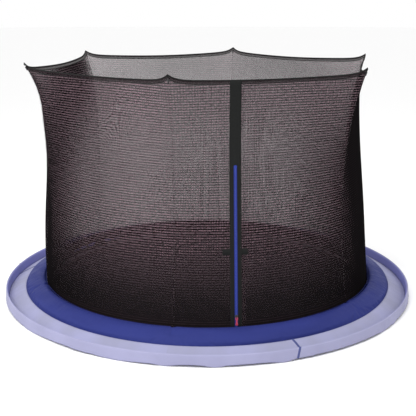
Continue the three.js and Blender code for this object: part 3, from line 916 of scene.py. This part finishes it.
def plate(name, axes, outline, low, high, material, bevel, holes=()):
    """A prism with rounded edges and holes right through it."""
    piece = prism(name, axes, outline, low, high, material)
    for hole in holes:
        tool = prism("cutter", axes, hole, low - 0.01, high + 0.01, material)
        finish_with(piece, "BOOLEAN", operation="DIFFERENCE", object=tool)
        bpy.data.objects.remove(tool)
    finish_with(piece, "BEVEL", width=bevel, segments=3, limit_method="ANGLE")
    piece.data.shade_smooth()
    return piece


def rounded(width, height, radius, middle=(0.0, 0.0)):
    """The outline of a rectangle with round corners."""
    points = []
    for sx, sy, start in ((1, 1, 0), (-1, 1, 90), (-1, -1, 180), (1, -1, 270)):
        cx = middle[0] + sx * (width / 2 - radius)
        cy = middle[1] + sy * (height / 2 - radius)
        for turn in range(0, 91, 18):
            angle = math.radians(start + turn)
            points.append((cx + radius * math.cos(angle), cy + radius * math.sin(angle)))
    return points


def joint_named(frame, name):
    return next(j for j in frame["joints"] if j["name"] == name)


def zip_axes(frame):
    """The slider's axes, with their origin at the pull's pivot."""
    up = joint_named(frame, "zip_travel")["axis"]
    swing = joint_named(frame, "pull_swing")
    return Axes(swing["pos_m"], [-c for c in swing["axis"]], up)


def zip_slider(frame, plastic, red):
    axes = zip_axes(frame)
    outline = [
        (-0.0062, -0.0058), (0.0062, -0.0058), (0.0086, -0.001), (0.0098, 0.009),
        (0.0092, 0.0165), (0.005, 0.0181), (-0.005, 0.0181), (-0.0092, 0.0165),
        (-0.0098, 0.009), (-0.0086, -0.001),
    ]
    body = plate("zip_slider_body", axes, outline, -0.0102, -0.0038, plastic, 0.0012)
    outline = rounded(0.005, 0.006, 0.001)
    lug = plate("zip_slider_lug", axes, outline, -0.0045, 0.0018, plastic, 0.0006)
    pin = Gathered()
    pin.add_tube(axes.place([(0, -0.0058, 0), (0, 0, 0), (0, 0.0058, 0)]), 0.0008, 10)
    pivot = pin.build("zip_slider_pin", plastic)
    for piece in (body, lug, pivot):
        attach(piece, "slider")
    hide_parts("zip_slider")
    pull = zip_pull(axes, red)
    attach(pull, "pull")
    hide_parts("zip_pull")


def zip_pull(axes, red):
    """A waisted tab with a forked top and ribs."""
    right = smooth_line(
        [
            (0.0088, 0.0005), (0.0090, -0.006), (0.0086, -0.012), (0.0052, -0.019),
            (0.0050, -0.030), (0.0082, -0.041), (0.0090, -0.049), (0.0062, -0.0545),
            (0.0022, -0.0554),
        ],
        26,
    )
    fork = [(0.0030, -0.0100), (0.0030, 0.0022), (0.0070, 0.0024)]
    half = fork + [tuple(p) for p in right]
    outline = half + [(-x, y) for x, y in reversed(half)]
    tab = plate("zip_pull_tab", axes, outline[::-1], -0.0019, 0.0019, red, 0.0006)
    ribs = Gathered()
    for k in range(5):
        height = -0.037 - k * 0.0032
        path = [(0.0019, -0.0046, height), (0.0022, 0, height), (0.0019, 0.0046, height)]
        ribs.add_tube(axes.place(path), 0.0006, 6)
    grip = ribs.build("zip_pull_ribs", red)
    grip.parent = tab
    return tab


def buckle(frame, plastic, webbing):
    """Side-release buckle across the entrance, inside the net: the socket on the right."""
    right = -np.array(joint_named(frame, "buckle_release")["axis"])
    up = np.array(joint_named(frame, "zip_travel")["axis"])
    ends = [*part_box("buckle_strap_left"), *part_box("buckle_strap_right")]
    axes = Axes(np.mean([list(end) for end in ends], axis=0), right, up)
    depth = (BUCKLE_BACK, BUCKLE_FRONT)
    outline = rounded(0.036, 0.035, 0.005, (0.0165, 0))
    windows = [rounded(0.012, 0.006, 0.002, (0.010, side * 0.0125)) for side in (-1, 1)]
    socket = plate("buckle_socket_shell", axes, outline, *depth, plastic, 0.0012, windows)
    outline = rounded(0.024, 0.035, 0.005, (-0.0145, 0))
    plug = plate("buckle_plug_body", axes, outline, *depth, plastic, 0.0012)
    prongs = Gathered()
    for side in (-1, 1):
        path = [(-0.007, along, side * apart) for along, apart in PRONG_LINE]
        prongs.add_tube(axes.place(smooth_line(path, 8)), 0.0022, 8)
    prong = prongs.build("buckle_plug_prongs", plastic)
    right_strap = strap("buckle_strap_right_webbing", axes, 0.031, 0.083, webbing)
    left_strap = strap("buckle_strap_left_webbing", axes, -0.083, -0.024, webbing)
    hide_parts("buckle_socket")
    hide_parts("buckle_plug")
    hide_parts("buckle_strap_right")
    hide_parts("buckle_strap_left")
    for piece, body in (
        (socket, "frame"), (right_strap, "frame"), (plug, "plug"), (prong, "plug"),
        (left_strap, "plug"),
    ):
        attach(piece, body)


def strap(name, axes, start, end, material):
    """A flat webbing strap beside the buckle."""
    steps = np.linspace(start, end, 12)
    outline = []
    for up, out in ((-1, 1), (1, 1), (1, -1), (-1, -1)):
        place = (out * STRAP_HALF_THICKNESS, 0, up * STRAP_HALF_WIDTH)
        outline.append(axes.place(np.outer(steps, (0, 1, 0)) + place))
    webbing = Gathered()
    webbing.add_grid(np.stack(outline, axis=1), wrap_rows=True)
    last = (len(steps) - 1) * 4
    webbing.add_ends([0, 1, 2, 3], [last + 3, last + 2, last + 1, last])
    return webbing.build(name, material, smooth=False)


# --- Mat and springs ---


def dish(radius):
    """The share of the mat's travel that a point at a radius follows."""
    rail = RAIL_RING - RAIL_RADIUS
    inside = np.clip(1 - radius / MAT_RADIUS, 0, 1)
    bowl = EDGE_LIFT + (1 - EDGE_LIFT) * (inside * inside * (3 - 2 * inside))
    outside = np.clip((rail - radius) / (rail - MAT_RADIUS), 0, 1)
    return np.where(radius < MAT_RADIUS, bowl, EDGE_LIFT * outside)


def stretches_with_mat(piece):
    """The piece bends from the rails, which stay, to the middle of the mat, which moves."""
    centre = (0.0, 0.0, MAT_HEIGHT)
    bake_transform(piece, "frame", "mat", start=(RAIL_RING, 0.0, MAT_HEIGHT), end=centre)
    points = np.array([v.co for v in piece.data.vertices])
    weight = dish(np.hypot(points[:, 0], points[:, 1]))
    attribute = piece.data.attributes["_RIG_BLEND"]
    attribute.data.foreach_set("value", weight.astype(np.float32))


def jump_mat(material, webbing, thread):
    columns = 120
    azimuth = np.arange(columns) * 360.0 / columns
    radii = np.concatenate([np.linspace(0.02, 1.2, 34), np.linspace(1.23, MAT_RADIUS, 5)])
    top = cylinder_points(azimuth[:, None], radii[None, :], MAT_HEIGHT + 0.0009)
    under = cylinder_points(azimuth[:, None], radii[None, ::-1], MAT_HEIGHT - 0.0009)
    mat = Gathered()
    mat.add_grid(np.concatenate([top, under], axis=1), wrap_columns=True)
    rows = 2 * len(radii)
    first = [k * rows for k in range(columns)]
    mat.add_ends(first[::-1], [k + rows - 1 for k in first])
    surface = mat.build("mat_woven_bed", material)
    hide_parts("jump_mat")
    outline = ((1.254, 0.0426), (1.3015, 0.0430), (1.3015, 0.0390), (1.254, 0.0394))
    edge = band("mat_edge_band", azimuth, outline, webbing)
    sewn = Gathered()
    for radius in (1.258, 1.276, 1.296):
        for k in range(600):
            at = (k + np.array([0.0, 0.2, 0.6, 0.8])) * 0.6
            height = MAT_HEIGHT + 0.0018 + np.array([0.0, 0.0006, 0.0006, 0.0])
            sewn.add_tube(cylinder_points(at, radius, height), 0.0007, 4)
    stitching = sewn.build("mat_edge_stitches", thread)
    for piece in (surface, edge, stitching):
        stretches_with_mat(piece)
    return surface, edge, stitching


def edge_rings(steel, webbing):
    """A three-sided ring and its sewn tab for each spring."""
    rings, tabs = Gathered(), Gathered()
    corners = [
        (1.2990, -0.017), (1.2985, 0.0), (1.2990, 0.017), (1.3030, 0.0185), (1.3120, 0.010),
        (1.3215, 0.0025), (1.3235, 0.0), (1.3215, -0.0025), (1.3120, -0.010), (1.3030, -0.0185),
    ]
    corners = [(out, across, MAT_HEIGHT) for out, across in corners]
    loop = smooth_line(corners + corners[:1], 40)[:-1]
    side = [
        (1.262, 0.0436), (1.290, 0.0437), (1.3015, 0.0432), (1.3040, 0.0410),
        (1.3015, 0.0388), (1.290, 0.0383), (1.262, 0.0384),
    ]
    inner = []
    for out, up in reversed(side):
        inward = TAB_THICKNESS if up < MAT_HEIGHT else -TAB_THICKNESS
        inner.append((out - 0.0014 * (out > 1.29), up + inward))
    columns = [[(out, across, up) for out, up in side + inner] for across in TAB_COLUMNS]
    tab = np.array(columns)
    for azimuth in SPRING_AZIMUTHS:
        rings.add_tube(turned_to(azimuth, loop), 0.0018, 6, True)
        tabs.add_grid(turned_to(azimuth, tab), False, True)
    pieces = rings.build("mat_edge_rings", steel), tabs.build("mat_ring_tabs", webbing)
    for piece in pieces:
        stretches_with_mat(piece)
    return pieces


def spring_path():
    """One spring's wire as (out, across, up): ring hook, close coils, rail hook."""
    start, end, turns = 1.342, 1.462, 24
    barrel = SPRING_BARREL_RADIUS - SPRING_WIRE_RADIUS
    inner_hook = [
        (1.3185, 0.0, 0.0365), (1.3165, 0.0, 0.041), (1.3185, 0.0, 0.0450),
        (1.3260, 0.0, 0.0462), (1.3340, 0.0, 0.0455), (1.3400, 0.0025, 0.0480),
    ]
    angle = np.linspace(0, turns * 2 * math.pi, turns * 8 + 1) + math.pi / 2
    along = np.linspace(start, end, len(angle))
    coil = np.stack([along, barrel * np.cos(angle), MAT_HEIGHT + barrel * np.sin(angle)], axis=1)
    rail_hook = [(1.4660, 0.0030, 0.0465), (1.4720, 0.0, 0.0430), (1.4790, 0.0, 0.0415)]
    return np.vstack([inner_hook, coil, rail_hook])


def springs(steel):
    path = spring_path()
    gathered = Gathered()
    for azimuth in SPRING_AZIMUTHS:
        gathered.add_tube(turned_to(azimuth, path), SPRING_WIRE_RADIUS, 4)
    coils = gathered.build("mat_springs", steel)
    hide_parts(*[f"spring_bank_{k + 1}" for k in range(POLES)])
    stretches_with_mat(coils)
    return coils


# --- Pad, apron and rim ---


def pad_section():
    """The pad's closed outline as (out, up): a wedge, thick at the net and thin outside."""
    crown = smooth_line(
        [
            (1.3305, 0.0585), (1.3298, 0.090), (1.3308, 0.130), (1.3345, 0.1460),
            (1.3435, 0.1525), (1.3560, 0.1520), (1.3900, 0.1400), (1.4300, 0.1210),
            (1.4600, 0.1045), (1.4800, 0.0915), (1.4885, 0.0810), (1.4890, 0.0705),
        ],
        PAD_CROWN_ROWS,
    )
    flat = smooth_line(
        [(1.4860, 0.0670), (1.4700, 0.0655), (1.4200, 0.0610), (1.3600, 0.0570),
         (1.3340, 0.0563)],
        14,
    )
    return np.vstack([crown, flat])


def rod_relief(azimuth, radius):
    """How far the pad's inner edge steps out, to let a rod through."""
    away = np.radians(pole_distance(azimuth)) * NET_BOTTOM_RADIUS
    notch = ROD_NOTCH_DEPTH * np.exp(-((away / ROD_NOTCH_WIDTH) ** 4))
    return notch * np.clip((1.40 - radius) / (1.40 - 1.335), 0, 1)


def pad_section_grid():
    """One sixth of the pad, from seam to seam, as columns x rows x 3, centred on azimuth 0."""
    section = pad_section()
    azimuth = np.linspace(-HALF_PANEL, HALF_PANEL, PAD_COLUMNS_PER_SECTION + 1)[:, None]
    return cylinder_points(azimuth, section[None, :, 0], section[None, :, 1])


def puffed(points, held):
    """The cloth's shape after a short simulation with air in it: held rows and ends stay."""
    columns, rows = points.shape[:2]
    faces, _, _ = grid_faces(columns, rows, False, True)
    mesh = bpy.data.meshes.new("pad_cloth")
    mesh.from_pydata(points.reshape(-1, 3).tolist(), [], faces.tolist())
    cloth = bpy.data.objects.new("pad_cloth", mesh)
    bpy.context.scene.collection.objects.link(cloth)
    group = cloth.vertex_groups.new(name="held")
    group.add(np.flatnonzero(held).tolist(), 1.0, "REPLACE")
    settings = cloth.modifiers.new("cloth", "CLOTH").settings
    for key, value in CLOTH_SETTINGS.items():
        setattr(settings, key, value)
    settings.effector_weights.gravity = 0.0
    for frame_number in range(1, CLOTH_FRAMES + 1):
        bpy.context.scene.frame_set(frame_number)
    graph = bpy.context.evaluated_depsgraph_get()
    result = np.array([v.co for v in cloth.evaluated_get(graph).data.vertices])
    bpy.context.scene.frame_set(1)
    bpy.data.objects.remove(cloth)
    moved = result - points.reshape(-1, 3)
    length = np.maximum(np.linalg.norm(moved, axis=1, keepdims=True), 1e-9)
    moved *= np.minimum(1.0, PAD_PUFF_LIMIT / length)
    return points + moved.reshape(points.shape)


def blue_pad(cloth, piping):
    """The spring cover: six padded wedges sewn end to end, slit where the rods come up."""
    grid = pad_section_grid()
    columns, rows = grid.shape[:2]
    row = np.arange(rows)
    held = np.zeros((columns, rows), bool)
    held[:, (row >= PAD_CROWN_ROWS - 2) | (row <= 1)] = True
    held[[0, -1]] = True
    grid = puffed(grid, held.ravel())
    x, y, height = np.moveaxis(grid[:-1], 2, 0)
    angle = np.degrees(np.arctan2(y, x))
    step = 2 * HALF_PANEL
    angle = np.concatenate([angle + FIRST_POLE + (k + 0.5) * step for k in range(POLES)])
    radius, height = np.tile(np.hypot(x, y), (POLES, 1)), np.tile(height, (POLES, 1))
    on_top = np.clip((height - 0.075) / 0.03, 0, 1)
    soft = wander(3, angle * 0.16, radius * 9)
    crease = wander(4, angle * 1.1, radius * 6)
    lift = on_top * (0.0016 * soft + 0.0006 * crease)
    points = cylinder_points(angle, radius + rod_relief(angle, radius), height + lift)
    pad = grid_object("pad_cover_ring", points, cloth, True, True)
    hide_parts("pad_cover", "pad_foam")
    azimuth = net_azimuths()
    edges = Gathered()
    for radius, height in ((1.3312, 0.1420), (1.4900, 0.0765)):
        ring = radius + rod_relief(azimuth, radius)
        edges.add_tube(cylinder_points(azimuth, ring, height), 0.0020, 6, True)
    return pad, edges.build("pad_edge_piping", piping)


def lower_edge(azimuth):
    """Radius and height of the skirt's lower edge, which hangs uneven and touches down in places."""
    swing = wander(7, azimuth * 0.06) * 0.010
    small = wander(8, azimuth * 0.25) * 0.003
    drop = np.zeros_like(azimuth)
    for at, width in SKIRT_LOW_POINTS:
        away = np.mod(azimuth - at + 180.0, 360.0) - 180.0
        drop = np.maximum(drop, np.exp(-((away / width) ** 2)))
    height = 0.002 + SKIRT_LIFT * (1 - drop) * (1 + 0.3 * wander(10, azimuth * 0.2))
    return 1.655 + swing * (1 - drop) + small, height


def cover_azimuths():
    return FIRST_POLE + np.arange(COVER_COLUMNS) * 360.0 / COVER_COLUMNS


def thin_ring(name, outer, material):
    """A closed thin sheet round the ring, its shown face given as columns x rows x 3."""
    around = np.roll(outer, -1, axis=0) - np.roll(outer, 1, axis=0)
    along = np.gradient(outer, axis=1)
    normals = np.cross(around, along)
    normals /= np.linalg.norm(normals, axis=2, keepdims=True)
    closed = np.concatenate([outer, (outer + normals * COVER_THICKNESS)[:, ::-1]], axis=1)
    return grid_object(name, closed, material, True, True)


def apron_surface():
    """Lavender cloth from under the pad's edge down to the gutter inside the rim."""
    line = smooth_line(
        [(1.4915, 0.0770), (1.5050, 0.0745), (1.5350, 0.0625), (1.5700, 0.0445),
         (1.6000, 0.0280), (1.6200, 0.0155), (1.6290, 0.0125)],
        18,
    )
    azimuth = cover_azimuths()[:, None]
    radius, height = line.T[:, None, :]
    free = np.sin(np.linspace(0, math.pi, len(line)))
    folds = wander(11, azimuth * 0.45, radius * 5)
    fine = wander(12, azimuth * 1.7, radius * 9)
    lift = free * (0.0035 * folds + 0.0012 * fine)
    return cylinder_points(azimuth, radius, height + lift)


def rim_skirt_surface():
    """Lavender cloth over the rim hoop and down to the ground."""
    azimuth = cover_azimuths()
    low_radius, low_height = lower_edge(azimuth)
    top = [
        (1.6415, 0.0862), (1.6432, 0.0872), (1.6455, 0.0868), (1.6480, 0.0848),
        (1.6500, 0.0810), (1.6508, 0.0760),
    ]
    edge_radius, edge_height = top[-1]
    rows = [cylinder_points(azimuth, r, z) for r, z in top]
    for share in np.linspace(0.12, 1.0, 9):
        radius = edge_radius + (low_radius - edge_radius) * share ** 1.3
        fold = wander(9, azimuth * 0.8, share) * 0.0025 * share
        height = edge_height + (low_height - edge_height) * share
        rows.append(cylinder_points(azimuth, radius + fold, height))
    return np.stack(rows, axis=1)


def rim_lining_surface():
    """Purple cloth that stands up from the gutter to the rim hoop, a little gathered."""
    line = smooth_line(
        [(1.6295, 0.0090), (1.6310, 0.025), (1.6335, 0.055), (1.6355, 0.0760), (1.6405, 0.0858)],
        12,
    )
    azimuth = cover_azimuths()[:, None]
    free = np.sin(np.linspace(0, math.pi, len(line)))
    radius, height = line.T[:, None, :]
    gather = wander(13, azimuth * 1.2, height * 12)
    return cylinder_points(azimuth, radius - free * 0.0016 * (1 + gather), height)


def surface_line(surface, azimuth):
    """The rows of a ring surface at one azimuth."""
    at = ((azimuth - FIRST_POLE) % 360.0) * COVER_COLUMNS / 360.0
    index = int(at)
    share = at - index
    return surface[index] * (1 - share) + surface[(index + 1) % COVER_COLUMNS] * share


def outer_cover(lavender, pale, purple, piping):
    apron = apron_surface()
    skirt = rim_skirt_surface()
    lining = rim_lining_surface()
    sheets = [
        thin_ring("apron_sheet", apron, lavender),
        thin_ring("rim_skirt_sheet", skirt, pale),
        thin_ring("rim_lining_sheet", lining, purple),
    ]
    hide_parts("pad_apron")
    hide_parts("rim_skirt")
    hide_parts("rim_lining")
    seams = Gathered()
    for azimuth in COVER_SEAMS:
        for surface, start, end in ((apron, 1.9, 2.9), (skirt, 1.1, 0.4)):
            rows = surface.shape[1]
            turn = azimuth + np.linspace(start, end, rows)
            line = np.array([surface_line(surface, turn[k])[k] for k in range(rows)])
            line[:, 2] += 0.0010
            add_flat_piping(seams, line)
    return sheets, seams.build("cover_seam_piping", piping)


def add_flat_piping(seams, line):
    """A folded tape over a seam, domed across its width."""
    line = smooth_line(line, 40)
    along = np.gradient(line, axis=0)
    along /= np.linalg.norm(along, axis=1, keepdims=True)
    outwards = line * (1.0, 1.0, 0.0)
    outwards /= np.linalg.norm(outwards, axis=1, keepdims=True)
    sideways = np.cross((0.0, 0.0, 1.0), outwards)
    above = np.cross(along, sideways)
    above *= np.where(above[:, 2:] < 0, -1.0, 1.0)
    columns = []
    for share in np.linspace(-1, 1, 7):
        dome = 0.0026 * (1 - share * share)
        columns.append(line + sideways * share * 0.0085 + above * dome)
    outer = np.array(columns)
    seams.add_grid(np.concatenate([outer, outer[::-1] - above * 0.0008], axis=0), True, False)


# --- Carried-over CAD nodes, stage and light ---


def finish_frame(frame, steel, plastic):
    """Materials for the CAD nodes that stay."""
    looks = {"rail": steel, "joint": steel, "ground": steel, "rim_hoop": plastic}
    for name, node in frame["nodes"].items():
        for start, material in looks.items():
            if name.startswith(start):
                node.data.materials.clear()
                node.data.materials.append(material)


def stage():
    """The floor, with the pit under the mat that a trampoline as low as this stands over."""
    shader = Shader("floor", 0.9, gloss=0.1)
    tone = shader.noise(shader.place, 1.5, 3.0)
    shader.colour(shader.mix(tone, shaded(FLOOR_COLOUR, 0.995), FLOOR_COLOUR))
    azimuth = np.arange(180) * 2.0
    radius = np.array([FLOOR_RADIUS, 10.0, 2.5, PIT_RADIUS, PIT_RADIUS, 0.01])
    height = np.array([0.0, 0.0, 0.0, 0.0, -PIT_DEPTH, -PIT_DEPTH])
    points = cylinder_points(azimuth[:, None], radius, height)
    faces, _, _ = grid_faces(len(azimuth), len(radius), True, False)
    floor = new_object("floor", points, faces.tolist(), shader.material, smooth=False)


def light():
    world = bpy.data.worlds.new("studio")
    bpy.context.scene.world = world
    world.use_nodes = True
    background = world.node_tree.nodes["Background"]
    background.inputs["Color"].default_value = (1.0, 1.0, 1.0, 1.0)
    background.inputs["Strength"].default_value = 1.0
    for name, energy, size, place in (
        ("key_light", 130.0, 3.0, (-2.6, -4.4, 4.2)),
        ("top_light", 170.0, 4.0, (-0.3, -1.0, 6.0)),
    ):
        lamp = bpy.data.lights.new(name, "AREA")
        lamp.energy = energy
        lamp.size = size
        holder = bpy.data.objects.new(name, lamp)
        holder.location = place
        holder.rotation_euler = (-Vector(place)).to_track_quat("-Z", "Y").to_euler()
        bpy.context.scene.collection.objects.link(holder)


def camera():
    lens = bpy.data.cameras.new("camera")
    lens.lens = CAMERA_LENS
    lens.sensor_width = 36.0
    lens.shift_x, lens.shift_y = CAMERA_SHIFT
    lens.clip_end = 200.0
    holder = bpy.data.objects.new("camera", lens)
    tilt = math.radians(CAMERA_ELEVATION)
    holder.location = (
        0.0,
        -CAMERA_DISTANCE * math.cos(tilt),
        CAMERA_TARGET_HEIGHT + CAMERA_DISTANCE * math.sin(tilt),
    )
    holder.rotation_euler = (math.pi / 2 - tilt, 0.0, 0.0)
    bpy.context.scene.collection.objects.link(holder)
    bpy.context.scene.camera = holder
    bpy.context.scene.view_settings.view_transform = "Standard"


# --- The scene ---

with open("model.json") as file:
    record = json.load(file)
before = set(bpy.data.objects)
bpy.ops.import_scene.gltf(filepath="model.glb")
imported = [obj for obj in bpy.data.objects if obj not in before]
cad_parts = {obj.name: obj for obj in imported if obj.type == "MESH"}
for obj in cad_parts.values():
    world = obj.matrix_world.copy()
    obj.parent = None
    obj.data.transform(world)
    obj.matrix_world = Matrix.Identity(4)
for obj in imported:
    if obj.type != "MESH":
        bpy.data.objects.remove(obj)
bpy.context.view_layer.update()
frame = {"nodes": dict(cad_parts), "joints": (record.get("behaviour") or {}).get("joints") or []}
camera()
light()
stage()

mesh = net_mesh_material()
wale = net_wale_material()
hem_mesh = hem_material()
webbing = webbing_material("black_webbing", BLACK_WEBBING)
thread = webbing_material("thread", THREAD_BLACK, pitch=0.0012, depth=0.0002)
blue_cloth = coated_cloth_material("blue_pad_cloth", PAD_BLUE, shaded(PAD_BLUE, 0.84))
lavender_cloth = coated_cloth_material("lavender_cloth", LAVENDER, LAVENDER_SHADE, (3.0, 2.0))
# the skirt's own copy of the lavender cloth, coloured as painted light so the upright skirt matches the
# apron as the light falls
skirt_shade = shaded(SKIRT_LAVENDER, 0.9)
skirt_cloth = coated_cloth_material("skirt_cloth", SKIRT_LAVENDER, skirt_shade, (3.0, 2.0))
purple_cloth = coated_cloth_material("purple_cloth", RIM_PURPLE, shaded(RIM_PURPLE, 0.86))
piping_cloth = coated_cloth_material("blue_piping", PIPING_BLUE, shaded(PIPING_BLUE, 0.85))
zip_tape_cloth = webbing_material("zip_tape_weave", ZIP_BLUE, pitch=0.0016)
zip_coil = moulded_material("zip_coil", shaded(ZIP_BLUE, 1.15), 0.4)
mat_weave = mat_material()
galvanised = steel_material("galvanised_steel", GALVANISED, 0.42, 60.0)
spring_steel = steel_material("spring_steel", SPRING_STEEL, 0.28, 200.0)
plastic = moulded_material("black_plastic", BLACK_PLASTIC, 0.45)
red_plastic = moulded_material("red_plastic", PULL_RED, 0.38)
rod_glass = rod_material()

net = safety_net(mesh)
wales = net_wales(wale)
hem, hem_cords = net_hem(hem_mesh, webbing)
bottom_tape, loops = bottom_webbing(webbing, thread)
rods, rod_caps, corner_loops = net_rods(rod_glass, plastic, webbing)
strip, strip_seams = zip_strip(webbing, thread)
binding = strip_binding(binding_material())
sewing_patches = strap_patches(webbing)
tapes, teeth, tape_seams = zip_line(zip_tape_cloth, zip_coil, thread)
zip_slider(frame, plastic, red_plastic)
buckle(frame, plastic, webbing)
bed, bed_band, bed_stitches = jump_mat(mat_weave, webbing, thread)
rings, ring_tabs = edge_rings(steel_material("blackened_steel", BLACKENED, 0.5, 120.0), webbing)
coils = springs(spring_steel)
pad, pad_piping = blue_pad(blue_cloth, blue_cloth)
(apron, skirt, lining), cover_seams = outer_cover(
    lavender_cloth, skirt_cloth, purple_cloth, piping_cloth
)
finish_frame(frame, galvanised, plastic)

ON_FRAME = {
    "net_mesh": [net, wales, hem, binding],
    "net_webbing": [
        hem_cords, bottom_tape, loops, corner_loops, strip, strip_seams, tape_seams, sewing_patches,
    ],
    "rod_fibreglass": [rods],
    "black_plastic": [rod_caps],
    "zip_blue": [tapes, teeth],
    "blue_pvc": [pad, pad_piping, cover_seams],
    "lavender_pvc": [apron, skirt],
    "purple_pvc": [lining],
}
for slot, pieces in ON_FRAME.items():
    for piece in pieces:
        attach(piece, "frame")
